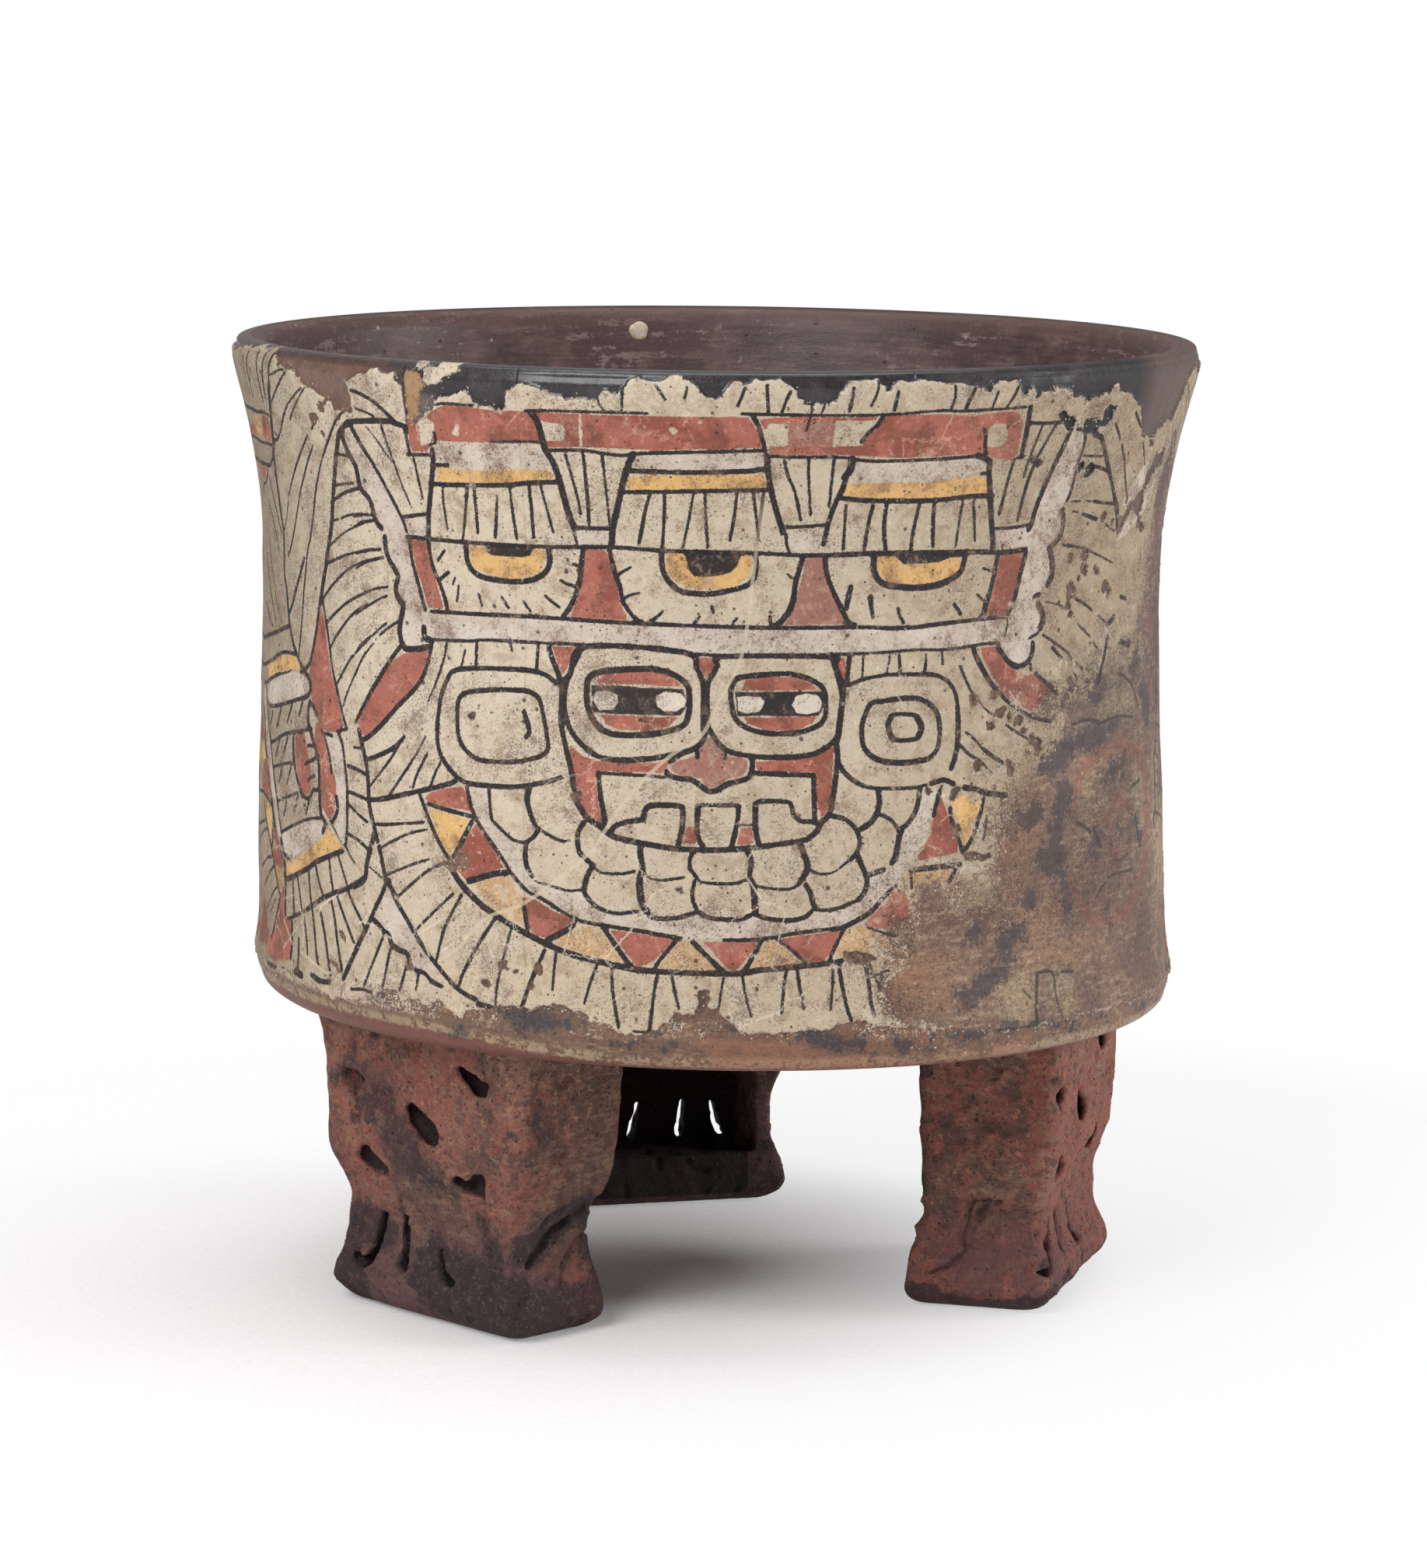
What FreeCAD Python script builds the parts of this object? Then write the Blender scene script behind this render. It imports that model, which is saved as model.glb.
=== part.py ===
"""Ancient central Mexican tripod vessel: a flared cylinder of fired clay on three hollow slab supports.

Units are millimetres. Z is up, the front of the vessel looks along -Y, and the origin lies on
the axis at the height of the soles.
"""

import FreeCAD, Part

import math
import os

import Sketcher

document = FreeCAD.newDocument("TripodVessel")
sheet = document.addObject("Spreadsheet::Sheet", "Sizes")
Vector = FreeCAD.Vector
next_row = 1


class Size:
    """A length known both as a number and as the sheet expression that gives it."""

    def __init__(self, value, text):
        self.value = float(value)
        self.text = text

    def __add__(self, other):
        other = as_size(other)
        return Size(self.value + other.value, f"({self.text} + {other.text})")

    def __sub__(self, other):
        other = as_size(other)
        return Size(self.value - other.value, f"({self.text} - {other.text})")

    def __mul__(self, other):
        other = as_size(other)
        return Size(self.value * other.value, f"({self.text} * {other.text})")

    def __truediv__(self, other):
        other = as_size(other)
        return Size(self.value / other.value, f"({self.text} / {other.text})")

    def __neg__(self):
        return Size(-self.value, f"(0 - {self.text})")

    def root(self):
        return Size(math.sqrt(self.value), f"sqrt({self.text})")


def as_size(number):
    return number if isinstance(number, Size) else Size(number, repr(number))


def size(alias, value):
    """Write one driving dimension into the sheet and hand it back."""
    global next_row
    sheet.set(f"A{next_row}", alias.replace("_", " "))
    sheet.set(f"B{next_row}", str(value))
    sheet.setAlias(f"B{next_row}", alias)
    next_row += 1
    return Size(value, f"Sizes.{alias}")


# Body of the vessel
body_radius = size("body_radius", 80.1)
waist_inset = size("waist_inset", 1.8)
rim_flare = size("rim_flare", 7.2)
wall_thickness = size("wall_thickness", 5.6)
wall_below_waist = size("wall_below_waist", 65.0)
wall_above_waist = size("wall_above_waist", 41.5)
lip_fillet = size("lip_fillet", 2.5)
floor_fillet = size("floor_fillet", 7.0)
base_thickness = size("base_thickness", 9.0)
base_overhang = size("base_overhang", 1.3)
base_edge_radius = size("base_edge_radius", 5.8)

# Painted coat and mended hole
coat_thickness = size("coat_thickness", 0.6)
coat_above_waist = size("coat_above_waist", 33.5)
plug_diameter = size("plug_diameter", 3.6)
plug_below_rim = size("plug_below_rim", 4.6)
plug_azimuth = size("plug_azimuth", 190.8)

# Slab supports
support_height = size("support_height", 51.0)
support_width = size("support_width", 51.0)
support_reach = size("support_reach", 67.8)
support_depth = size("support_depth", 24.1)
plaque_thickness = size("plaque_thickness", 7.0)
cheek_thickness = size("cheek_thickness", 6.5)
sole_thickness = size("sole_thickness", 9.7)
corner_radius = size("corner_radius", 3.0)
open_corner_radius = size("open_corner_radius", 1.5)

# Levels of a support from its top down: height, how far the outline lies inside the straight part,
# and how much of the open end's two pinches, at the ankle and at the toe, is felt there
support_levels = []
for level_name, height, inset, ankle_share, toe_share in (
    ("head", 51.0, -1.8, 0.0, 0.0),
    ("collar", 46.0, -0.8, 0.0, 0.0),
    ("neck", 40.0, -0.3, 0.0, 0.0),
    ("middle", 34.0, 0.0, 0.05, 0.0),
    ("knee", 28.5, 0.1, 0.25, 0.0),
    ("shin", 24.0, 1.1, 0.6, 0.0),
    ("hock", 20.0, 2.5, 0.95, 0.0),
    ("ankle", 16.0, 2.8, 1.0, 0.0),
    ("heel", 12.0, 2.5, 0.55, 0.5),
    ("instep", 8.0, 1.4, 0.15, 0.85),
    ("toe", 4.0, 0.6, 0.0, 1.0),
    ("sole", 0.0, 1.9, 0.0, 1.4),
):
    support_levels.append(
        (
            level_name,
            support_height if level_name == "head" else size(f"{level_name}_height", height),
            size(f"{level_name}_inset", inset),
            ankle_share,
            toe_share,
        )
    )

# Recesses and slots of the plaques
recess_width = size("recess_width", 9.0)
recess_height = size("recess_height", 5.8)
recess_depth = size("recess_depth", 2.4)
slot_width = size("slot_width", 1.3)
slot_bottom = size("slot_bottom", 7.3)
slot_top = size("slot_top", 16.6)

# Outlines of the recesses, as shares of their width and height from the middle of each
recesses = []
for recess_name, across, height, outline in (
    (
        "outer_high", -18.4, 38.7,
        [(-0.39, 0.43), (0.2, 0.41), (0.38, 0.17), (0.11, -0.12), (0.0, -0.43), (-0.16, -0.43), (-0.39, 0.14)],
    ),
    (
        "inner_high", 12.4, 44.1,
        [(-0.54, 0.41), (-0.2, 0.36), (0.53, -0.09), (0.39, -0.41), (0.02, -0.4), (-0.29, -0.02)],
    ),
    (
        "middle", -0.9, 34.4,
        [(-0.53, 0.4), (-0.31, 0.59), (0.36, 0.1), (0.51, -0.24), (0.3, -0.59), (0.02, -0.57), (-0.44, 0.0)],
    ),
    (
        "outer_low", -15.0, 25.5,
        [(-0.48, 0.02), (-0.31, 0.45), (-0.07, 0.5), (0.43, -0.07), (0.37, -0.5), (-0.07, -0.4)],
    ),
    (
        "inner_low", 9.9, 25.7,
        [(-0.54, -0.03), (-0.31, 0.22), (0.0, 0.12), (0.26, 0.38), (0.51, 0.31), (0.44, -0.34), (-0.31, -0.19)],
    ),
):
    middle = (size(f"{recess_name}_recess_across", across), size(f"{recess_name}_recess_height", height))
    recesses.append((*middle, outline))

# Outlines of the slots, as slot widths sideways and shares of the way from the bottom to the top
slots = []
for slot_name, across, outline in (
    (
        "hooked", -15.9,
        [(0.7, 1.0), (1.5, 1.0), (0.9, 0.45), (-0.3, 0.05), (-1.8, -0.1), (-4.3, 0.0), (-4.1, 0.12), (-1.7, 0.12),
         (-0.7, 0.35)],
    ),
    (
        "straight", -8.4,
        [(-0.9, 1.05), (0.0, 1.05), (0.6, 0.5), (1.2, 0.0), (-0.3, 0.0), (-0.6, 0.5)],
    ),
    (
        "tailed", 0.8,
        [(-1.2, 1.0), (-0.3, 1.0), (0.2, 0.6), (1.2, 0.28), (3.8, 0.1), (3.7, -0.02), (1.1, 0.05), (-0.3, 0.3),
         (-0.7, 0.65)],
    ),
):
    slots.append((size(f"{slot_name}_slot_across", across), outline))

# Where each support stands, how far it sits to one side, and how its open end is pinched in
supports = []
for side, azimuth, sideways, open_ankle, open_toe in (
    ("left", 313.7, -2.1, 4.6, 2.6),
    ("right", 73.7, 2.1, 0.4, -2.8),
    ("back", 193.7, 0.0, 2.0, 0.0),
):
    supports.append(
        (
            side,
            size(f"{side}_azimuth", azimuth),
            size(f"{side}_sideways", sideways),
            size(f"{side}_open_ankle_inset", open_ankle),
            size(f"{side}_open_toe_inset", open_toe),
        )
    )

document.recompute()

# Values worked out from the driving dimensions
base_top = support_height + base_thickness
waist_height = base_top + wall_below_waist
rim_height = waist_height + wall_above_waist
waist_radius = body_radius - waist_inset
flare_radius = (wall_above_waist * wall_above_waist + rim_flare * rim_flare) / (rim_flare * 2)
drum_radius = (wall_below_waist * wall_below_waist + waist_inset * waist_inset) / (waist_inset * 2)
flare_centre = waist_radius + flare_radius
drum_centre = waist_radius + drum_radius


def flare_at(height_above_waist, layer):
    """Radius of the flared wall, layer millimetres outside the wall's own outer face."""
    arc = flare_radius - layer
    return flare_centre - (arc * arc - height_above_waist * height_above_waist).root()


def drum_at(depth_below_waist, layer):
    """Radius of the lower wall, layer millimetres outside the wall's own outer face."""
    arc = drum_radius - layer
    return drum_centre - (arc * arc - depth_below_waist * depth_below_waist).root()


def arc_centre(start, end, radius, side):
    """Centre of the arc from start to end; side is +1 when it lies left of the chord, -1 when right."""
    chord = end - start
    half = chord.Length / 2
    rise = math.sqrt(max(radius * radius - half * half, 0.0))
    across = Vector(-chord.y, chord.x, 0).normalize()
    return (start + end) * 0.5 + across * (rise * side)


def add_outline(sketch, corners, arcs=None):
    """Draw a closed outline whose corners and arc radii are bound to the sheet.

    corners is a list of (x, y) sizes; arcs maps an edge's number to (radius, side of its centre).
    """
    arcs = arcs or {}
    points = [Vector(as_size(x).value, as_size(y).value, 0) for x, y in corners]
    first = sketch.GeometryCount
    starts = []
    for number, start in enumerate(points):
        end = points[(number + 1) % len(points)]
        if number in arcs:
            radius, side = arcs[number]
            centre = arc_centre(start, end, radius.value, side)
            begin = math.atan2(start.y - centre.y, start.x - centre.x)
            finish = math.atan2(end.y - centre.y, end.x - centre.x)
            if side > 0:
                angles = (begin, finish)
            else:
                angles = (finish, begin)
            circle = Part.Circle(centre, Vector(0, 0, 1), radius.value)
            sketch.addGeometry(Part.ArcOfCircle(circle, *angles), False)
            starts.append((1, 2) if side > 0 else (2, 1))
        else:
            sketch.addGeometry(Part.LineSegment(start, end), False)
            starts.append((1, 2))
    count = len(points)
    for number in range(count):
        following = (number + 1) % count
        sketch.addConstraint(
            Sketcher.Constraint(
                "Coincident",
                first + number,
                starts[number][1],
                first + following,
                starts[following][0],
            )
        )
    for number, (x, y) in enumerate(corners):
        for kind, coordinate, axis in (("DistanceX", x, -2), ("DistanceY", y, -1)):
            coordinate = as_size(coordinate)
            if coordinate.value == 0:
                sketch.addConstraint(
                    Sketcher.Constraint("PointOnObject", first + number, starts[number][0], axis)
                )
                continue
            index = sketch.addConstraint(
                Sketcher.Constraint(
                    kind, -1, 1, first + number, starts[number][0], coordinate.value
                )
            )
            sketch.setExpression(f"Constraints[{index}]", coordinate.text)
    for number, (radius, side) in arcs.items():
        index = sketch.addConstraint(Sketcher.Constraint("Radius", first + number, radius.value))
        sketch.setExpression(f"Constraints[{index}]", radius.text)


def origin_plane(body, role):
    for feature in body.Origin.OriginFeatures:
        if feature.Role == role:
            return feature
    raise ValueError(role)


def body_sketch(body, name, role):
    sketch = body.newObject("Sketcher::SketchObject", name)
    sketch.AttachmentSupport = (origin_plane(body, role), [""])
    sketch.MapMode = "FlatFace"
    return sketch


def bind(thing, **expressions):
    for name, value in expressions.items():
        thing.setExpression(name, as_size(value).text)


def turn_about_axis(thing, azimuth):
    """Swing a piece made at the front of the vessel round to its own azimuth."""
    thing.setExpression(
        "Placement",
        f"placement(vector(0; 0; 0); rotation(vector(0; 0; 1); {azimuth.text}))",
    )


def revolved_body(name, corners, arcs):
    body = document.addObject("PartDesign::Body", name)
    body.Label = name
    sketch = body_sketch(body, f"{name}_profile", "XZ_Plane")
    add_outline(sketch, corners, arcs)
    revolution = body.newObject("PartDesign::Revolution", f"{name}_revolution")
    revolution.Profile = sketch
    revolution.ReferenceAxis = (sketch, ["V_Axis"])
    revolution.Angle = 360
    body.Tip = revolution
    document.recompute()
    return body


def edges_near(shape, height, radius):
    """Names of the full circles about the axis at this height and radius."""
    names = []
    for number, edge in enumerate(shape.Edges, start=1):
        circle = edge.Curve
        if not isinstance(circle, Part.Circle):
            continue
        if abs(circle.Center.z - height) < 0.01 and abs(circle.Radius - radius) < 0.01:
            names.append(f"Edge{number}")
    return names


def make_base_slab():
    """Round floor slab with a swelling edge that turns under to the flat foot plane."""
    edge = body_radius + base_overhang
    flat = edge - base_edge_radius
    shoulder = support_height + base_edge_radius
    top_edge = drum_at(wall_below_waist, coat_thickness)
    slope = base_thickness - base_edge_radius
    closing_radius = (slope * slope + (edge - top_edge) * (edge - top_edge)) / ((edge - top_edge) * 2)
    corners = [
        (0, support_height),
        (flat, support_height),
        (edge, shoulder),
        (top_edge, base_top),
        (0, base_top),
    ]
    return revolved_body("base_slab", corners, {1: (base_edge_radius, 1), 2: (closing_radius, 1)})


def make_vessel_wall():
    """Cylinder wall: drawn in at the waist, flared to a rounded lip, with a drilled mending hole."""
    inside = -wall_thickness
    fillet_top = drum_at(wall_below_waist - floor_fillet, inside)
    corners = [
        (fillet_top - floor_fillet, base_top),
        (body_radius, base_top),
        (waist_radius, waist_height),
        (flare_at(wall_above_waist, 0), rim_height),
        (flare_at(wall_above_waist, inside), rim_height),
        (waist_radius - wall_thickness, waist_height),
        (fillet_top, base_top + floor_fillet),
    ]
    arcs = {
        1: (drum_radius, -1),
        2: (flare_radius, -1),
        4: (flare_radius + wall_thickness, 1),
        5: (drum_radius + wall_thickness, 1),
        6: (floor_fillet, -1),
    }
    body = revolved_body("vessel_wall", corners, arcs)

    turned = body.Tip
    lip_edges = edges_near(turned.Shape, rim_height.value, flare_at(wall_above_waist, 0).value)
    lip_edges += edges_near(turned.Shape, rim_height.value, flare_at(wall_above_waist, inside).value)
    lip = body.newObject("PartDesign::Fillet", "vessel_wall_lip")
    lip.Base = (turned, lip_edges)
    bind(lip, Radius=lip_fillet)
    body.Tip = lip
    document.recompute()

    hole_sketch = body_sketch(body, "vessel_wall_mending_hole_outline", "XZ_Plane")
    hole_sketch.addGeometry(
        Part.Circle(Vector(0, (rim_height - plug_below_rim).value, 0), Vector(0, 0, 1), plug_diameter.value / 2)
    )
    hole_sketch.addConstraint(Sketcher.Constraint("PointOnObject", 0, 3, -2))
    index = hole_sketch.addConstraint(
        Sketcher.Constraint("DistanceY", -1, 1, 0, 3, (rim_height - plug_below_rim).value)
    )
    hole_sketch.setExpression(f"Constraints[{index}]", (rim_height - plug_below_rim).text)
    index = hole_sketch.addConstraint(Sketcher.Constraint("Diameter", 0, plug_diameter.value))
    hole_sketch.setExpression(f"Constraints[{index}]", plug_diameter.text)
    document.recompute()

    hole = body.newObject("PartDesign::Pocket", "vessel_wall_mending_hole")
    hole.Profile = hole_sketch
    hole.Type = "Length"
    hole.Reversed = True
    bind(hole, Length=body_radius + rim_flare + wall_thickness)
    body.Tip = hole
    document.recompute()
    turn_about_axis(body, plug_azimuth)
    return body


def make_stucco_coat():
    """Thin ground of lime stucco that carries the painting, from the base slab to under the rim."""
    corners = [
        (body_radius, base_top),
        (drum_at(wall_below_waist, coat_thickness), base_top),
        (waist_radius + coat_thickness, waist_height),
        (flare_at(coat_above_waist, coat_thickness), waist_height + coat_above_waist),
        (flare_at(coat_above_waist, 0), waist_height + coat_above_waist),
        (waist_radius, waist_height),
    ]
    arcs = {
        1: (drum_radius - coat_thickness, -1),
        2: (flare_radius - coat_thickness, -1),
        4: (flare_radius, 1),
        5: (drum_radius, 1),
    }
    return revolved_body("stucco_coat", corners, arcs)


def make_mend_plug():
    """Clay plug that fills the mending hole, trimmed to the wall's own two faces."""
    rod = document.addObject("Part::Cylinder", "mend_plug_rod")
    bind(rod, Radius=plug_diameter / 2, Height=body_radius + rim_flare + wall_thickness)
    rod.Placement = FreeCAD.Placement(Vector(0, 0, 0), FreeCAD.Rotation(Vector(1, 0, 0), 90))
    bind(rod, **{"Placement.Base.z": rim_height - plug_below_rim})
    blank = document.addObject("Part::Common", "mend_plug")
    blank.Label = "mend_plug"
    blank.Base = wall_ring()
    blank.Tool = rod
    document.recompute()
    turn_about_axis(blank, plug_azimuth)
    return blank


def wall_ring():
    """The unpierced wall between its inner and outer flare, used to trim the plug."""
    inside = -wall_thickness
    corners = [
        (waist_radius - wall_thickness, waist_height),
        (waist_radius, waist_height),
        (flare_at(wall_above_waist, 0), rim_height),
        (flare_at(wall_above_waist, inside), rim_height),
    ]
    arcs = {1: (flare_radius, -1), 3: (flare_radius + wall_thickness, 1)}
    sketch = document.addObject("Sketcher::SketchObject", "mend_plug_trim_outline")
    sketch.Placement = FreeCAD.Placement(Vector(0, 0, 0), FreeCAD.Rotation(Vector(1, 0, 0), 90))
    add_outline(sketch, corners, arcs)
    ring = document.addObject("Part::Revolution", "mend_plug_trim")
    ring.Source = sketch
    ring.Axis = Vector(0, 0, 1)
    ring.Angle = 360
    ring.Solid = True
    return ring


def rounded_section(name, height, sideways, inset, open_inset):
    """One level of a support: a box outline with rounded corners, open end towards the axis."""
    left = sideways - support_width / 2 + inset
    right = sideways + support_width / 2 - inset
    front = -(support_reach - inset)
    rear = -(support_reach - support_depth + open_inset)
    sketch = document.addObject("Sketcher::SketchObject", name)
    corners = [
        (left + corner_radius, front),
        (right - corner_radius, front),
        (right, front + corner_radius),
        (right, rear - open_corner_radius),
        (right - open_corner_radius, rear),
        (left + open_corner_radius, rear),
        (left, rear - open_corner_radius),
        (left, front + corner_radius),
    ]
    arcs = {
        1: (corner_radius, 1),
        3: (open_corner_radius, 1),
        5: (open_corner_radius, 1),
        7: (corner_radius, 1),
    }
    add_outline(sketch, corners, arcs)
    bind(sketch, **{"Placement.Base.z": height})
    return sketch


def make_support_block(side, sideways, open_ankle, open_toe):
    """The whole outer form of one support: flared into the base, pinched at the ankle, spread at the toe."""
    sections = []
    for level_name, height, inset, ankle_share, toe_share in support_levels:
        open_inset = open_ankle * ankle_share + open_toe * toe_share
        sections.append(rounded_section(f"{side}_{level_name}_section", height, sideways, inset, open_inset))
    block = document.addObject("Part::Loft", f"{side}_support_block")
    block.Sections = sections
    block.Solid = True
    block.Ruled = False
    document.recompute()
    return block


def zone(name, left, right, near, far, bottom, top):
    """Box between six planes, for parting a support block into its slabs."""
    box = document.addObject("Part::Box", name)
    bind(
        box,
        Length=right - left,
        Width=far - near,
        Height=top - bottom,
        **{
            "Placement.Base.x": left,
            "Placement.Base.y": near,
            "Placement.Base.z": bottom,
        },
    )
    return box


def slab_from_block(name, block, box):
    slab = document.addObject("Part::Common", name)
    slab.Base = block
    slab.Tool = box
    return slab


def recess_tool(side):
    """Five slanting notches, sunk a little way into the plaque's face."""
    sketch = document.addObject("Sketcher::SketchObject", f"{side}_recess_outlines")
    sketch.Placement = FreeCAD.Placement(Vector(0, 0, 0), FreeCAD.Rotation(Vector(1, 0, 0), 90))
    for across, height, outline in recesses:
        add_outline(sketch, [(across + recess_width * x, height + recess_height * z) for x, z in outline])
    bottom_of_recess = support_reach - recess_depth
    bind(sketch, **{"Placement.Base.y": -bottom_of_recess})
    return extruded(f"{side}_recesses", sketch, recess_depth + plaque_thickness)


def slot_tool(side):
    """Three cuts right through the plaque: one with a hook, one straight, one with a tail."""
    sketch = document.addObject("Sketcher::SketchObject", f"{side}_slot_outlines")
    sketch.Placement = FreeCAD.Placement(Vector(0, 0, 0), FreeCAD.Rotation(Vector(1, 0, 0), 90))
    slot_rise = slot_top - slot_bottom
    for across, outline in slots:
        add_outline(sketch, [(across + slot_width * x, slot_bottom + slot_rise * z) for x, z in outline])
    bind(sketch, **{"Placement.Base.y": -(support_reach - support_depth)})
    return extruded(f"{side}_slots", sketch, support_depth + plaque_thickness)


def extruded(name, sketch, length):
    """Prism from a sketch on an upright plane, towards the front of the vessel."""
    prism = document.addObject("Part::Extrusion", name)
    prism.Base = sketch
    prism.DirMode = "Custom"
    prism.Dir = Vector(0, -1, 0)
    prism.Solid = True
    bind(prism, LengthFwd=length)
    return prism


def make_support(side, azimuth, sideways, open_ankle, open_toe):
    """One hollow support as four slabs: plaque, two cheeks and a sole, open towards the axis."""
    block = make_support_block(side, sideways, open_ankle, open_toe)
    spare = plaque_thickness
    left = sideways - support_width / 2
    right = sideways + support_width / 2
    front = -(support_reach + spare)
    parting = -(support_reach - plaque_thickness)
    rear = -(support_reach - support_depth - spare)

    plaque_blank = slab_from_block(
        f"{side}_plaque_blank",
        block,
        zone(f"{side}_plaque_zone", left - spare, right + spare, front, parting, as_size(0), support_height),
    )
    sunk = document.addObject("Part::Cut", f"{side}_plaque_sunk")
    sunk.Base = plaque_blank
    sunk.Tool = recess_tool(side)
    plaque = document.addObject("Part::Cut", f"{side}_plaque")
    plaque.Base = sunk
    plaque.Tool = slot_tool(side)

    sole = slab_from_block(
        f"{side}_sole",
        block,
        zone(f"{side}_sole_zone", left - spare, right + spare, parting, rear, as_size(0), sole_thickness),
    )
    near_cheek = slab_from_block(
        f"{side}_cheek_a",
        block,
        zone(
            f"{side}_cheek_a_zone", left - spare, left + cheek_thickness, parting, rear,
            sole_thickness, support_height,
        ),
    )
    far_cheek = slab_from_block(
        f"{side}_cheek_b",
        block,
        zone(
            f"{side}_cheek_b_zone", right - cheek_thickness, right + spare, parting, rear,
            sole_thickness, support_height,
        ),
    )
    slabs = []
    for slab, label in (
        (plaque, "plaque"),
        (sole, "sole"),
        (near_cheek, "cheek_a"),
        (far_cheek, "cheek_b"),
    ):
        slab.Label = f"{side}_{label}"
        turn_about_axis(slab, azimuth)
        slabs.append(slab)
    return slabs


def check_document():
    """Stop if any object failed or any shape is missing or broken."""
    for thing in document.Objects:
        if "Invalid" in thing.State or "Error" in thing.State:
            raise RuntimeError(f"{thing.Name}: {thing.State}")


def write_parts(nodes):
    os.makedirs("parts", exist_ok=True)
    for node in nodes:
        shape = node.Shape
        if shape.isNull() or not shape.isValid() or len(shape.Solids) != 1:
            raise RuntimeError(f"{node.Label}: shape is not one valid solid")
        shape.exportStep(f"parts/{node.Label}.step")
        print(f"{node.Label}: {shape.Volume:.1f} cubic mm")


wall = make_vessel_wall()
pieces = [make_base_slab(), wall, make_stucco_coat(), make_mend_plug()]
for support in supports:
    pieces += make_support(*support)
document.recompute()
check_document()
write_parts(pieces)
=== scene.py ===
"""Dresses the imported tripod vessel: a painted stucco wall in eight closed panels, the burnished
body behind them, three modelled supports with their grit, and the clay plug under the rim."""
import math

import bmesh
import bpy
import numpy as np
from bpy.props import FloatProperty, FloatVectorProperty, IntProperty, PointerProperty
from mathutils import Matrix, Vector


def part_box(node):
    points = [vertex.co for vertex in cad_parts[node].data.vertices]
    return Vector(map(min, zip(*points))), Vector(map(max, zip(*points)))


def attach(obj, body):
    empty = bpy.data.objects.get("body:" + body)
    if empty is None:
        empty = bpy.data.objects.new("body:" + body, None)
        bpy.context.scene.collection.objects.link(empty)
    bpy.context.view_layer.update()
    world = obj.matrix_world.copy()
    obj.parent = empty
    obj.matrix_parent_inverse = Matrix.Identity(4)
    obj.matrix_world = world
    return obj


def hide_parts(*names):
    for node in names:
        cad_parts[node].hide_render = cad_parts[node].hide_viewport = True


bl_info = {
    "name": "Tripod vessel dressing",
    "version": (1, 0, 0),
    "blender": (4, 5, 0),
    "location": "3D View > Sidebar > Vessel",
    "description": "Builds the painted wall, the clay body, the supports and the stage",
    "category": "Add Mesh",
}

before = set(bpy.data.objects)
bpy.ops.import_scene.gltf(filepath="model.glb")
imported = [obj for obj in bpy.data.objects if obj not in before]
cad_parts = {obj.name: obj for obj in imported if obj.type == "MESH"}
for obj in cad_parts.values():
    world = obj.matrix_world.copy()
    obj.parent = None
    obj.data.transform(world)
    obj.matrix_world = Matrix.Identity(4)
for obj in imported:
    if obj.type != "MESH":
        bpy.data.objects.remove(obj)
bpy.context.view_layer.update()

MM = 0.001
TENTH = 0.1

# Places on the wall are a width round it from the middle of the front and a height, both in mm.
# The width is taken on this radius; the wall is built in panels of equal width.
SPREAD = 80.0
ROUND = 2 * math.pi * SPREAD
HALF_TURN = ROUND / 2
PANELS = 8

# Widths where the painted figure ends on the left, and about which its side emblem is turned over.
FIGURE_EDGE = -75.5
EMBLEM_EDGE = -112.0

# How far in mm each kind of drawing is felt beyond its own edge.
REACH = 1.6
COVER_REACH = 4.0
WORN_REACH = 7.0
STAIN_REACH = 3.0
GHOST_REACH = 2.5
CRACK_REACH = 0.9

# How deep in mm the stucco's losses, its wear and its crack are sunk, and how far a broken edge lifts.
LOSS_DEPTH = 0.45
WEAR_DEPTH = 0.25
CRACK_DEPTH = 0.10
EDGE_LIFT = 0.04

# The vessel's lean as height lost per mm of width, at its foot and at its rim, and how far it bows.
UNDERSIDE = 51.0
LEAN_LOW = 0.0185
LEAN_HIGH = 0.0056
SIDE_BOW = 0.7

# Rounding in mm of the supports' lower edge, and the most that a grain is spun, in radians.
SOLE_ROUNDING = 4.5
FULL_SPIN = 6.283

# Cells of the random numbers in space before they come again, and how much coarser the meshes are
# while the script is only being tried.
LUMP_CELLS = 48
COARSER = 1

# Outer face of the wall as radius and height in mm, from the underside of the base up over the lip.
WALL_PROFILE = [
    (74.6, 50.95), (76.4, 51.0), (78.1, 51.4), (79.5, 52.2), (80.5, 53.3), (81.15, 54.6),
    (81.45, 56.0), (81.4, 57.4), (81.1, 59.2), (80.75, 61.3), (80.45, 64.5), (80.3, 69.0),
    (80.2, 76.0), (80.05, 84.0), (79.8, 92.0), (79.4, 101.0), (79.15, 110.0), (79.0, 119.0),
    (79.0, 127.0), (79.15, 133.0), (79.6, 138.5), (80.4, 144.0), (81.3, 149.0), (82.05, 152.5),
    (82.9, 156.0), (84.0, 160.0), (84.65, 162.6), (84.75, 164.2), (84.3, 165.5), (83.3, 166.25),
    (82.0, 166.5), (81.4, 166.5),
]

# Face of the body that is seen, from the lip down the inside to the middle of the floor.
INSIDE_PROFILE = [
    (81.4, 166.5), (80.4, 166.2), (79.5, 165.4), (78.9, 164.2), (78.3, 161.5), (77.3, 156.5),
    (76.2, 151.5), (74.9, 145.0), (74.0, 138.5), (73.6, 132.0), (73.5, 125.0), (73.7, 112.0),
    (74.1, 98.0), (74.5, 86.0), (74.6, 76.0), (74.5, 69.0), (73.6, 64.6), (71.4, 61.8),
    (68.0, 60.4), (63.0, 60.0), (45.0, 59.8), (22.0, 59.9), (0.0, 60.0),
]

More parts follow.
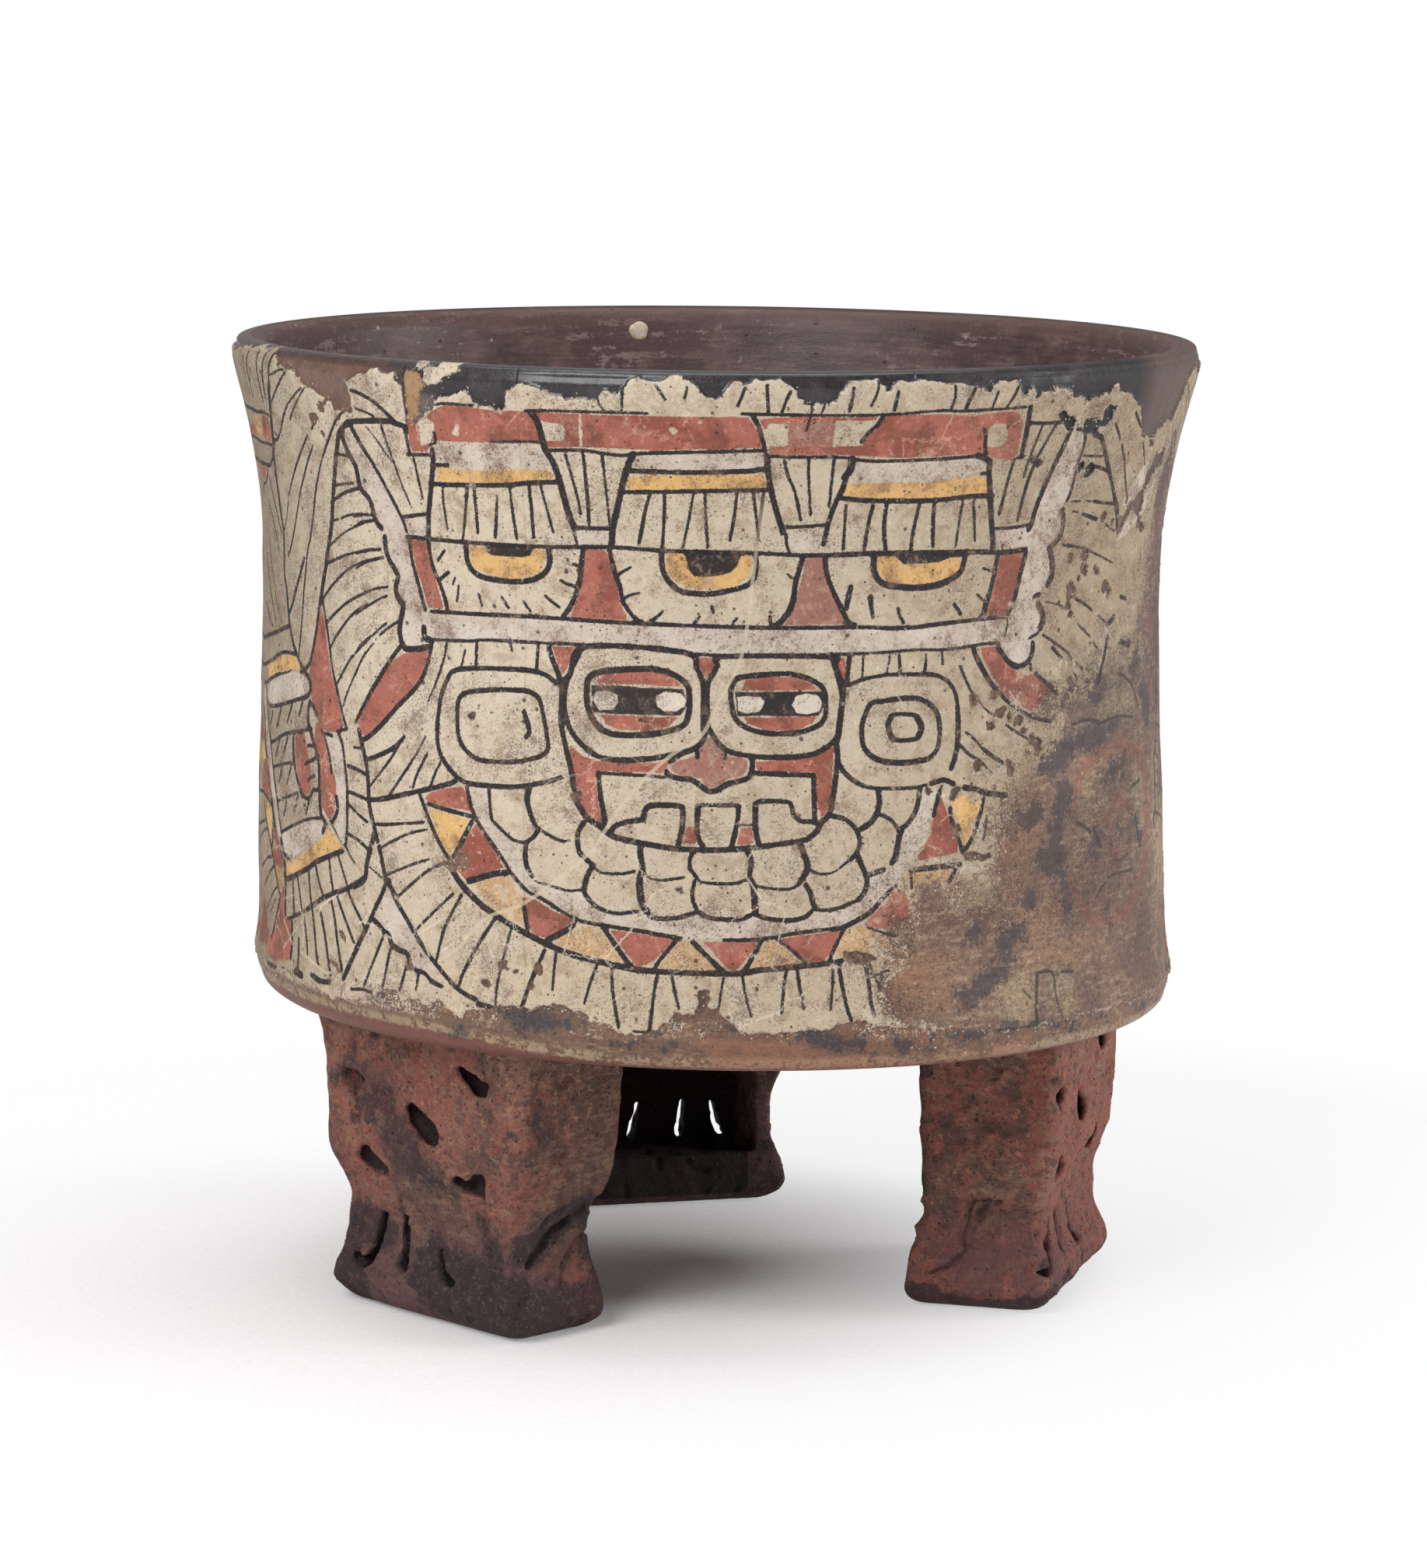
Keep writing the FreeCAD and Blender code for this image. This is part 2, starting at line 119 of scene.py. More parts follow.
# Face of the body under the base, from its middle out to the foot of the wall panels.
UNDER_PROFILE = [(0.0, 51.0), (22.0, 51.0), (45.0, 51.0), (63.0, 51.0), (74.6, 50.95)]
# Painted lines: the width in mm, with an o where the line closes, then the first place and the step on
# to each next one, as width round the wall and height in tenths of a mm. A row that gives no width is
# as wide as the row before it.
LINES = """
# rim band, right of the middle
.4: -460,1597 20,3 50,-1
-300,1595 60,2 135,0
40,1598 200,-3 120,5 40,-2 120,2
1: -290,1592 10,-17 8,-40 12,-22 8,-23 14,-60 9,-25
.4: -365,1540 65,4 26,-1
.5: -270,1531 64,2 56,-6 50,5 180,6
.45: 85,1529 35,-2 80,-1 50,-7 80,0 110,3
.7>.5: 58,1593 10,-18 14,-46
.6: -530,1510 47,2
-530,1555 3,-25 3,-20
.4: -483,1528 13,6 1,16
.35: -181,1620 2,-10 6,-8
.4: -143,1638 -1,-35
.35: -92,1644 7,-11 8,-13
-44,1640 -3,-17
.4: 45,1645 -5,-17 -7,-17
77,1645 2,-25 2,-19
113,1635 -6,-15 -5,-18
.3: 168,1616 -4,-16
.4: 211,1640 -2,-20 -2,-17
251,1650 -2,-17 -8,-23
.5: 283,1633 -3,-30
.45: 380,1639 1,-19 -4,-17
.6: 415,1634 -7,-17 -5,-14
.4: 458,1628 -6,-25
.5: 497,1636 -7,-16 -10,-18
.9: 528,1599 3,-49 -2,-25 1,-9
.4: 519,1514 17,3
.7: 263,1594 -8,-15 -13,-13 -9,-14
.6: 443,1567 6,-12 2,-18 5,-14
.55: 534,1573 51,-3 25,1
# fan at the upper left
.9: -680,1538 15,12 15,7 80,6 25,-3 17,-4
.6: -635,1610 20,-4 25,-10 20,-14 27,-22
.35: -633,1580 18,-3 23,-7
-680,1558 10,11 10,3
.9>.5: -650,1545 20,-33 20,-27 50,-82 10,-25
.3: -613,1550 18,-20 27,-34
.5>.3: -579,1553 7,-28 19,-60 19,-45
.45: -518,1505 4,-30 6,-37
# headband bar and fringe, left
.6: -483,1495 33,2
.7: -490,1464 40,0 100,5 50,7 45,3
.9: -478,1520 -2,-25 -18,-80 -5,-45
.35: -465,1463 -1,-33 4,-42
.6>.4: -417,1462 -5,-32 -10,-57
.5: -404,1462 1,-42 1,-33
.3>.6: -362,1450 -3,-30 -4,-38
.4>.55: -338,1469 3,-49 5,-38
.5: -303,1472 2,-52 1,-36
.35: -283,1473 7,-33 11,-45
.6: -560,1402 45,8 15,2
# fan between the bars, left
.5>.3: -238,1525 18,-75 3,-23
.5: -209,1530 5,-80 1,-40
.45>.3: -178,1528 4,-48 5,-70
.6: -226,1404 61,1
.4: -230,1400 6,-24
# headband bar and fringe, middle
1: -128,1530 -12,-30 -18,-70 -6,-30 -2,-22
.7: -140,1502 90,-1 100,3 35,4
.6: -150,1466 150,5 88,2
.9: 82,1529 10,-59 22,-67
.4>.6: -101,1467 -9,-32 -10,-52
.5: -79,1468 0,-38 -3,-56
.35: -32,1468 -6,-38 -10,-52
.4: -14,1469 2,-39 4,-52
.45: 37,1469 -3,-39 -6,-40
63,1470 6,-40 6,-40
# fan between the bars, right
.45: 110,1523 8,-28 12,-25 12,-47
.4: 149,1524 2,-34 7,-58
.45: 190,1523 -1,-33 -1,-45
.9>.8: 222,1518 -9,-23 -6,-25 -7,-15 -10,-30 -8,-42
1.2: 220,1522 -2,-17 -8,-12
.5: 113,1412 27,0 45,3
.4: 119,1400 2,-17 6,-15
.75: 203,1459 47,-5 110,-3 80,4 42,-1
# headband bar and fringe, right
.5: 216,1447 0,-37 0,-35
.6: 262,1445 -5,-25 -5,-47
.65: 285,1448 -1,-38 6,-40
.6: 343,1446 -7,-56 0,-20
.65: 370,1448 2,-33 4,-40
.45: 424,1447 -2,-37 -2,-37
.5: 445,1445 5,-22 8,-42
1: 466,1512 2,-20 25,-107 3,-21
.9: 440,1523 15,-5 10,-6
.5: 452,1492 16,1
492,1399 38,-1 40,3
.45: 562,1565 -15,-53 -5,-29
.5: 592,1566 -13,-24 -16,-30
.6: 560,1500 -6,-20 -6,-30 -5,-40
515,1512 -5,-29 -9,-60
1: 630,1558 -8,-24 -27,-64 -15,-47 -4,-21 -5,-9
.6: 645,1557 15,-2 9,-8 3,-15 -2,-17 -5,-20 -3,-40 -6,-19
1: 648,1420 5,-15 1,-17 -6,-15 -23,-15
1.2: 628,1355 6,-13 4,-19 -1,-13 -8,-12
.8: 596,1280 12,3
1.2: 606,1266 10,-13 2,-13 -6,-12
.5: 585,1212 21,7
.9: 593,1203 -1,-13 -6,-12 -11,-8 -15,-3 -14,4 -13,9 -19,21
.6: 588,1168 0,-8
# brow line and eyes
.6: -550,1370 250,0 130,4 90,-3 150,-2 80,-4 90,0
.8: 200,1365 80,1 170,-4 70,-4 50,2
.9: -426,1368 1,-23 5,-15 12,-11 18,-6 30,-3 30,0 25,4 17,8 11,11 5,15 -3,20
.85: -83,1369 1,-24 5,-16 12,-14 15,-10 20,-3 30,0 50,11 17,12 5,20 -2,23
1: 270,1362 0,-19 6,-16 13,-11 21,-5 30,-3 25,0 25,3 23,7 19,11 6,13 3,16
.7: -504,1370 3,-25 7,-25 21,-42 8,-25
.8: -214,1370 -7,-55 -6,-20 -9,-20 -12,-17
.7: -170,1370 10,-40 8,-20 4,-20 10,-17 13,-15 10,-5
.8>1: 149,1364 -11,-44 -3,-25 -7,-20 -13,-18 -10,-7
.75: 185,1364 5,-29 12,-30 26,-48 12,-7
.7: -547,1365 9,-45 25,-70
.9: 509,1357 -7,-40 -8,-29
1.1: 493,1288 -6,-15 -3,-15 -6,-6
.9: 571,1356 -17,-63 -5,-15
.6: 543,1264 -7,-10
.5: -484,1336 14,17
.6: -480,1305 16,11
.3: -455,1297 5,12
.4: -443,1296 -3,-26
-403,1285 7,-19
-359,1283 13,-17
.35: -319,1278 13,-16
.5: -280,1289 15,-11 10,-6
.45: -253,1316 13,-6 13,-3
.4: -232,1344 12,-4
.5>.3: -159,1327 14,9 11,6
.6>.3: -149,1288 13,8 16,5
-100,1255 13,10 7,8
.5>.3: -28,1254 9,11
.5: 0,1282 3,-10
.35: 35,1255 7,7
.5: 98,1252 -2,13
.35: 123,1335 12,-9
.8: 232,1312 -3,-14 -4,-20
1>.5: 267,1294 1,-12 4,-20
.5: 317,1275 3,-12 7,-11
.6: 423,1277 7,-8 6,-8
.4: 469,1291 11,-9 6,-4
.35: 479,1334 11,-4 9,-2
# long pale bar
.6: -500,1249 150,4 110,0 340,-6 150,-1 50,-3 50,0 50,4 115,4
.3: 515,1250 20,-4 -7,-27
.45: -500,1202 80,4 20,3 50,2 200,1 150,-10 250,1 100,3 50,-2 50,2 30,3 35,0
# left pale strip
1: -678,1538 1,-18 9,-20 12,-20 3,-28 5,-12 15,-12 6,-16 3,-14 6,-11 8,-7
-603,1365 1,-20 7,-17 13,-16 7,-12 -5,-13 1,-14 9,-13 7,-7 -7,-38 2,-15 5,-12 8,-6 15,0 33,6
-515,1220 3,-15 12,-5
# left goggle and right goggle
.85 o: -208,1210 -26,-45 -9,-25 -2,-30 6,-25 10,-20 19,-20 30,-17 40,-2 40,4 40,8 30,9 13,9 7,14 -2,20
  0,60 -4,15 -7,15 -22,26
.95 o: -202,1160 22,10 40,5 40,2 30,-5 20,-10 12,-12 3,-20 -1,-25 -9,-19 -25,-10 -30,-6 -40,-3 -30,3
  -20,13 -10,17 -6,20 0,20
.9: -10,1070 -1,80
.8 o: 22,1200 -11,-15 -9,-17 -7,-18 0,-55 5,-17 12,-18 14,-13 24,-7 40,-4 40,0 35,3 25,10 20,17 7,24 3,30
  -1,20 -6,25 -7,20 -9,14
36,1155 14,11 60,6 30,-2 30,-10 18,-14 4,-21 -2,-25 -15,-15 -30,-9 -35,-2 -30,3 -25,9 -15,14 -5,20
  -2,18
# edge of the face, nose and mouth
.9: -273,1209 5,-19 17,-40 2,-30 -1,-30 4,-30 13,-50 10,-50 8,-17 12,-15 25,-15
.7: -213,1210 -23,-45 -11,-15
.95: 221,1148 -1,-23 -6,-50 -4,-17 2,-18
.9: 212,1040 -2,-25 -10,-60 -7,-17 -10,-9
222,1153 -7,12 -14,36
.8: 232,1199 -2,-24 -2,-22
.85: -72,1010 4,-6 18,-5 20,-2 22,-15 11,-3 12,4 15,9 30,9 7,11 2,16 -5,10
.7: -30,1046 -20,-9 -16,-11
-23,1050 2,-15
.5: 23,1052 1,-19
-186,1003 81,-1 30,-2
.8: -185,1003 3,-33 8,-45 -4,-11
72,1010 48,-2 50,-2
171,1006 1,-70 1,-8
.85: -165,905 7,11 18,8 25,5 6,3 2,13 9,8 23,2 25,-1 5,-6 -1,-28 -6,-28
-20,955 -2,-35 3,-20 6,-10
.6: -20,956 20,1 43,0
.8: 46,955 -2,-25 -9,-38
.85: 74,960 -1,-20 1,-25 5,-22
.7: 74,960 9,4 42,-1 8,-7 3,-13 11,-11 23,-2
.3: 48,925 22,0
.85: -178,913 8,-8 25,-9 75,-11 40,-2 70,2 108,14 17,7 11,10 6,12
# beads under the chin
.8: -210,920 -10,-20 2,-27 12,-13 13,-10
.9: -113,889 -2,-14 4,-27
.6: -24,884 -9,-14 -1,-15 2,-6 9,-11
.8: 59,887 6,-17 1,-10 -4,-24
.9: 146,896 13,-36 -4,-15 -8,-13
.4: -193,850 10,-10 18,-2 25,2 15,4
.35: -110,845 8,-10 12,-4 20,1 27,5
.4: -22,836 7,-6 25,-2 30,1 17,6
.45: 64,835 11,-9 20,-5 35,-1 16,9
.3: 160,855 10,-8 15,-3 20,4 30,22
.8>.5: -196,847 -8,-17 -5,-20 4,-12 15,-15 20,-8 20,-2 30,5
1.1: -112,845 -4,-15 0,-20 4,-20 6,-10
.7: -108,782 13,-13 25,-1 20,3 26,9
.6: -26,832 -4,-17 1,-17 6,-14
.7: -20,780 15,-8 25,-3 25,1 18,6
1.1: 65,835 5,-15 2,-40
.7: 72,780 13,-7 25,-4 25,0 20,5 10,9
.8: 156,827 8,-15 4,-17 5,-9
.55: 172,787 13,-3 25,3 35,13
1>.3: -306,973 -3,-23 6,-20 8,-18 12,-10 23,-11 15,-4 12,2
.8: -288,902 -9,-12 -12,-10
.5: -380,968 5,-48 5,-11 30,-23 10,-5 20,-3
.8: -310,875 -2,-20 4,-18 8,-13
.4: -295,817 55,-11 25,2
.9: 282,980 2,-18 -3,-16 -7,-13 -11,-10 -11,-6
.8: 358,979 -3,-19 -5,-17 -10,-15 -10,-9 -10,-6
.6: 282,940 15,-7 11,-8 14,-22
1: 323,913 -5,-15 -6,-28 -7,-11
.7: 200,939 17,-3 15,-9 10,-12 6,-15 -2,-15 -6,-10 -7,-7
.9: 243,875 14,-32 3,-16 -5,-15 -10,-12
260,839 15,5 15,4
# collar ring
.6: -423,963 18,-50 52,-65 11,-16 17,-19 20,-16 25,-10 57,-28 53,-8 50,-5 70,-10
.55: 20,735 40,1 40,4 40,7 80,9
.8: 200,752 20,4 35,16 18,13 14,15 25,22
1.1>.8: -450,819 15,-19 20,-17 25,-18 45,-23 95,-37 100,-20 50,-5 140,0 40,6 120,11 15,3
.8: -445,970 -25,-10 -120,-34 -50,-10
.7: -500,926 40,-6 55,-7
-517,938 27,-53 15,-25 20,-25
.8: -412,905 -24,-43 -12,-19
1: -345,826 -25,-4 -48,-17
.8: -315,776 3,-21 4,-18
.9: -223,759 -12,-16 -38,-23
.8: -180,752 37,-52 13,-14
.65: -55,735 -30,-37 -8,-14
.8: -30,730 38,-37 12,-10
.7: 83,737 -23,-42 -10,-13
.5: 107,737 23,-17 23,-21
.6: 223,758 -23,-43 -5,-16
.4: 260,754 45,-16 7,-2
.7: 395,970 -7,-20 -5,-17
.3: 400,980 -10,-15
.7: 415,943 2,-18 8,-17 14,-40
483,953 -5,-18 -18,-40 -15,-22
.8: 339,844 21,2 73,3
.7: 426,848 -7,-14 -7,-11
.35: 339,840 1,-25
.4: 489,925 -5,-32 -4,-6
# left ear spool
.75: -260,1146 -3,4 -17,10 -20,4 -30,1 -70,-3 -50,-8 -15,-19 -11,-25 -5,-30 -2,-25 1,-25 7,-20 15,-18
  20,-16 20,-7 30,-1 40,1 30,3 50,12 20,8
.75 o: -327,1131 22,-2 15,-9 7,-20 10,-50 -1,-15 -11,-10 -20,-7 -25,-6 -40,-3 -30,1 -15,6 -15,12 -9,17
  -3,25 6,43 51,14
.8: -316,1096 10,-31 -6,-11
.35: -466,1198 -4,-23 -15,-40 -18,-37
.3: -428,1190 -5,-20 -5,-13
.4: -406,1204 -1,-44
.3: -342,1208 3,-13
.45: -292,1209 -2,-44
# right ear spool
.6: 231,1152 24,8 25,5 30,2 70,-3 23,-7 16,-13 9,-18 3,-16
.9: 431,1109 1,-29 -1,-30 -5,-23 -7,-18
.7: 212,1043 3,-20 8,-13 15,-14 17,-9
.5: 253,987 27,-5 65,-2 25,4
.85 o: 270,1120 20,4 30,3 30,0 20,-7 14,-10 9,-15 3,-20 -1,-20 -5,-15 -13,-12 -17,-4 -30,-2 -30,2 -20,6
  -15,10 -9,15 -2,20 3,20
.6 o: 310,1102 35,-2 11,-6 6,-11 0,-11 -6,-10 -16,-3 -20,0 -12,5 -6,12 0,14 3,7
1: 306,1098 -5,-12 2,-14 6,-10
353,1095 7,-11 1,-10 -5,-9
.3: 256,1199 -1,-36
303,1199 -4,-24 -5,-11
.5: 320,1198 2,-26
.3>.6: 370,1198 -1,-18 -2,-10
.4: 400,1200 2,-20
.8: 380,986 25,4 18,-8
.9: 445,975 25,-5 20,-7 42,-7
.45>.35: 436,1175 17,-34 10,-14
.3: 470,1121 13,-15 19,-14 8,-4
.4: 448,1066 16,-12 20,-19
.65: 485,1035 18,-12 34,-19
.5: 436,1045 16,-14 18,-11
.3: 478,1016 15,-13 9,-8
.4: 533,1072 32,-18 15,-7
# right leaf
.7: 600,1153 15,-11 18,-10 19,-15
.95: 463,1204 5,-14 20,-32 11,-14 12,-11
.6: 511,1133 27,-24 57,-29 45,-10
# left leaf
.8: -567,1185 -33,-37 -40,-51 -36,-52
-497,1198 -5,-23 -8,-25 -13,-23 -22,-22 -30,-25 -30,-28 -30,-24 -25,-14
# feathers left of the figure
.9: -668,1032 20,-47 8,-30 2,-30 4,-25 26,-72 6,-23 7,-17 23,-29
.7: -646,984 26,9 30,13 20,13 15,14
.4: -633,942 43,45 27,36
.5>.3: -587,930 57,73 22,35
.5: -533,950 8,23 21,37
.45: -496,955 9,23 11,20
-625,877 35,4 80,13
.35: -609,838 34,18 35,16 38,11
.4: -680,1001 20,1
.6: -695,968 35,-5 13,-4
.5: -690,924 47,-7
.45: -695,904 35,-18 18,-7
.6: -697,852 34,-9 30,-15
1: -624,860 -19,-50 -5,-25 -12,-12 -20,-10
.3: -636,802 18,-8 13,-7
1.2: -596,786 6,-2
.8: -598,776 -12,-21 -70,-110
.4: -590,796 55,24 36,13
.45: -570,760 50,40 25,17 30,14
.4: -450,780 -50,-44 -30,-28
.5: -433,780 -27,-45 -12,-25 -13,-46
.55: -370,746 -32,-48 -28,-48 -7,-20
.35: -339,734 -23,-84 -4,-25 -1,-23
.6: -279,702 -24,-52 -17,-47
.4: -258,702 -4,-27 -3,-37
.8: -580,765 15,-21 50,-59 22,-21 43,-36 25,-13 20,-6
1: -633,715 15,-7 13,-10 13,-6 8,-15 19,-7 15,-2 7,-13
.7: -530,642 20,-3 15,-11 22,-6
.5: -603,693 -32,-63 -13,-30
.45: -586,673 -9,-28 -9,-45
-550,648 -8,-25 -6,-20
-523,638 -5,-28
.8: -400,602 25,-3
.45: -680,588 30,4 23,-2
.5: -697,753 17,-23 27,-32
.4: -680,1437 25,6
-680,1394 30,5 22,1
.5: -680,1376 25,10 30,6
.4: -680,1331 30,8 35,4
.45: -680,1307 30,13 40,10
.4: -680,1256 30,13 30,9 20,3
-680,1228 55,29 23,9
.35: -678,1163 58,45 18,12
.4: -617,1199 17,12 25,14
.35: -680,1125 15,25 15,17 17,16
# feathers below the collar
.4: -188,686 -12,-31 -10,-35
.45: -164,684 1,-34 4,-30 7,-35
.5: -88,677 -7,-37 -7,-60
.45: -66,677 5,-27 7,-30
.35: 20,677 -5,-27 -5,-30
50,675 5,-35 8,-30
.4: 122,685 -5,-35 -4,-35
.45: 140,686 4,-31 6,-33
.35: 200,695 -1,-35 -4,-40
.55: 210,696 5,-36 8,-40 6,-20
.6: 254,704 8,-49 2,-27 5,-21
.4: 263,693 10,-23 9,-17
268,672 22,8 10,0
.35: -127,580 47,0
.3: 5,572 85,0 50,4
.6: 180,570 60,4
# long feathers of the left wing
.5: -973,1655 -12,-25 -10,-30 -5,-30
.4: -1003,1640 -12,-30 -5,-35
.5: -927,1653 -8,-43 -8,-43
-887,1665 -28,-60 -8,-30
.6: -850,1668 -15,-18 -25,-50
1.1: -890,1600 -13,-20 -20,-50 -7,-25 -8,-20
.9: -940,1490 -6,-30 -4,-65 3,-30 7,-20
.8: -940,1345 -3,-55 3,-25 10,-25 12,-50 12,-22 12,-18 31,-30 13,-7
.3: -882,1617 22,5 25,8 27,2
.35: -808,1632 -82,-56 -10,-6
.3: -770,1605 -55,-30 -30,-22
.45: -855,1553 -25,-26 -25,-20 -18,-5 -10,-12
.3: -758,1607 -52,-40 -24,-21
.45>.3: -783,1523 -57,-53 -55,-60
.3: -900,1400 -18,-30 -16,-22
.4: -773,1505 -27,-30 -50,-65 -50,-82 -20,-25
-750,1550 -15,-15
.45: -663,1573 -17,-10 -20,-20 -50,-58 -20,-30 -20,-35 -30,-70 -18,-35 -15,-65 -7,-50 -12,-65
.7: -850,1306 -48,-78 -17,-21
1: -650,1552 -15,-2 -18,-13 -12,-20 -23,-54 -22,-63 -8,-30 -22,-60 -16,-50 -6,-25
.5: -703,1498 33,-1
.4: -727,1441 27,6 30,4
.5: -735,1414 25,13 30,11 25,5
.35: -745,1380 20,5
.4: -715,1388 25,7 40,5
.35: -760,1334 30,19 30,15 50,19
.45: -770,1305 70,23 50,10
.4: -782,1245 27,23 35,24 30,16 40,14
.5: -770,1205 60,38 60,26
.45: -755,1163 20,25 50,42 35,17
.35: -680,1162 15,16 25,17
.4: -733,1103 36,45 12,9
.3: -713,1066 10,24 33,53 18,25
# emblem at the far left
.6: -1120,1545 70,2 50,-1 50,2 20,-3
.5: -1120,1494 60,1 50,-3 50,1 20,-3
.6: -1120,1455 130,-1 20,4 15,10 10,12
.4: -995,1450 -10,-14 -25,-16 -20,-5 -20,-15
.5: -995,1433 22,-63 20,-33
.45: -1030,1390 20,-25 38,-60
-1045,1315 15,-30 15,-25 15,-30 23,-33
.5: -1075,1290 20,-30 20,-35 25,-30 15,-15
.4: -1090,1205 60,-32 10,-3
.7: -1120,1136 120,24 80,21
.6: -1120,1088 50,9 50,13 40,13 40,10 60,4
-1090,1060 25,4 75,22 27,6
.3: -963,1092 43,9 15,5
.6: -865,1108 15,1
.9: -845,1109 13,-6 8,-11 1,-12 -9,-8 -13,-6
.6: -845,1066 -115,-28 -70,-11 -20,3
.8: -1069,1055 21,-45 18,-27 15,-26 29,-57 16,-27 28,-55
1: -1090,1013 15,-28 15,-35 10,-15
.5: -1040,915 20,-30 15,-20
1.2: -1003,863 13,-23 10,-20
.4: -980,820 15,-15 35,-38
.6: -1017,964 37,10 40,14 40,10 85,17
.5: -1000,923 80,18 35,5
-965,868 75,22 25,7
-940,818 110,38 60,12
-1008,1020 -7,-12 -10,-11
.65: -952,1037 -13,-22 -15,-19
.6: -897,1053 -8,-18 -15,-22
-853,1059 -13,-26
-962,974 -18,-29
-915,985 -18,-27
.65: -945,930 -5,-15 -7,-12
.6: -895,942 -8,-17 -10,-18
-916,879 -4,-16 -7,-13
-863,893 -7,-16 -10,-14
.5: -817,893 -13,-27
.8: -830,1015 10,0 10,-17 10,-13
.7: -792,1245 -15,-65 -15,-43 -11,-14 -14,-10
.6: -787,1248 30,-88 7,-25 22,-52 20,-40 8,-13
.5: -700,1030 -15,-4 -7,-3
.6: -745,1013 -15,1 -15,-1
.9: -825,1062 -5,-12 -1,-15 5,-15 34,-47 7,-18 7,-75 8,-13
.8: -823,1060 13,-6 12,-11
.6: -778,1018 15,-20 13,-25 7,-23
.8: -727,910 4,-18 -7,-16 -15,-13 -15,-1
.6: -727,1023 15,-23 8,-30 7,-35 2,-35 -1,-35 -4,-30
.9: -887,990 2,-25 7,-22 13,-23 15,-19
.5: -890,997 17,5 23,2
.7: -850,900 20,-7 15,5 10,12 12,3 13,0
.5: -828,985 18,2 10,-4
.6: -835,952 20,8 20,9
-823,925 13,8 10,3
.5: -1120,862 40,5 75,-11
.7: -1070,855 20,-30 50,-55 37,-52 13,-15
.45: -1120,803 35,10 33,9
.4: -1120,770 30,20 35,14 15,3
.45: -1090,733 55,24 25,5
-1060,705 25,20 25,15 18,8
.4: -1035,668 25,22 23,17 20,10
.35: -1013,663 18,15 17,15
.9: -996,820 0,-25 -7,-15 0,-10
1: -943,803 10,-15 10,-8 13,-2
.4: -910,778 15,-3
.8: -768,868 5,-11 -9,-14
.9: -925,740 20,2 75,28 40,20 80,30
1.2: -926,765 1,-20 2,-10
.6: -770,867 15,-4 20,-10 17,-21 15,-5
.7: -703,830 10,-15 13,-12
-920,735 -2,-35 2,-25
-887,743 4,-38 3,-22
.5: -867,753 9,-28 8,-27
.6: -822,770 4,-30 5,-28
-797,783 12,-28 15,-23
.5: -753,803 6,-28 9,-30
-724,808 11,-18 13,-25
.6: -913,670 23,6 50,20
.8: -830,700 55,27 35,15 40,14 45,24
.5: -840,685 5,-20 13,-42
.6: -810,703 15,-63 12,-27
-780,702 25,-67 15,-33
-745,728 10,-33 8,-35 17,-45
-728,740 15,-25 33,-49
1: -650,693 -30,-46 -23,-44
.8: -889,668 1,-33 0,-30
.5: -950,705 -15,-30 -18,-30 -17,-23
.6: -860,645 4,-35 6,-20
1.2: -860,588 25,-3
.9: -800,593 30,-6 30,3
.6: -920,582 40,-2
.8: -1000,576 50,2
# right wing
.9: 695,1545 15,-5 15,-12 88,-118
1.3: 810,1417 10,-20 10,-22
.35: 673,1511 27,-3 33,-2
.5: 715,1490 25,-6 23,-8
.35: 668,1433 24,0
708,1432 15,-2
.5: 730,1430 30,-5 43,-5
.35: 675,1417 15,-3
.55: 705,1410 25,-7 20,-5
.4: 780,1388 20,-9 17,-6
.5: 748,1560 17,-17 10,-12
785,1522 10,-15 10,-12
.35: 807,1490 23,-40 20,-27
.5: 805,1575 15,-13 20,-14
.3: 863,1520 17,-20 17,-21
663,1572 37,1
.45: 660,1361 30,-4 30,-6
.3: 720,1351 30,-9 70,-23
.45: 703,1269 27,-11 25,-13
.35: 775,1235 20,-12 15,-11
1: 805,1215 25,12
.35: 713,1225 17,-11 20,-13
.7: 855,1259 25,-6
.4: 618,1215 32,-16 40,-22
.6: 690,1172 20,-14 17,-8
.55: 642,1192 26,-20
.3: 625,1269 25,-5 30,-11
.4: 700,1148 10,-13
760,1190 20,-15
.8: 807,1195 -17,-50 -10,-25
855,1183 20,-5 23,-6
.5: 853,1129 27,-7 20,-9 17,-10 13,-13 17,-25
.4: 780,1051 70,6 70,-8
.5: 910,932 40,6
.6: 710,893 20,-8 20,-12
.8: 760,878 8,-16 12,-17
.4: 758,760 17,13 18,10
800,790 40,3 60,-3
825,817 25,-3 30,6
.5: 920,880 10,-30 15,-23
700,1058 40,5 40,-7
# panel at the lower right
.6: 597,650 -2,-20 -5,-25 -4,-33
.5: 596,652 24,1 15,-3
.4: 637,648 3,-18 1,-25 9,-35
.5: 660,648 30,-4
.7: 430,570 110,-6 30,2
1: 573,569 13,1
.45: 570,561 30,2 36,-1
.4: 650,561 30,0
562,628 16,-15
"""

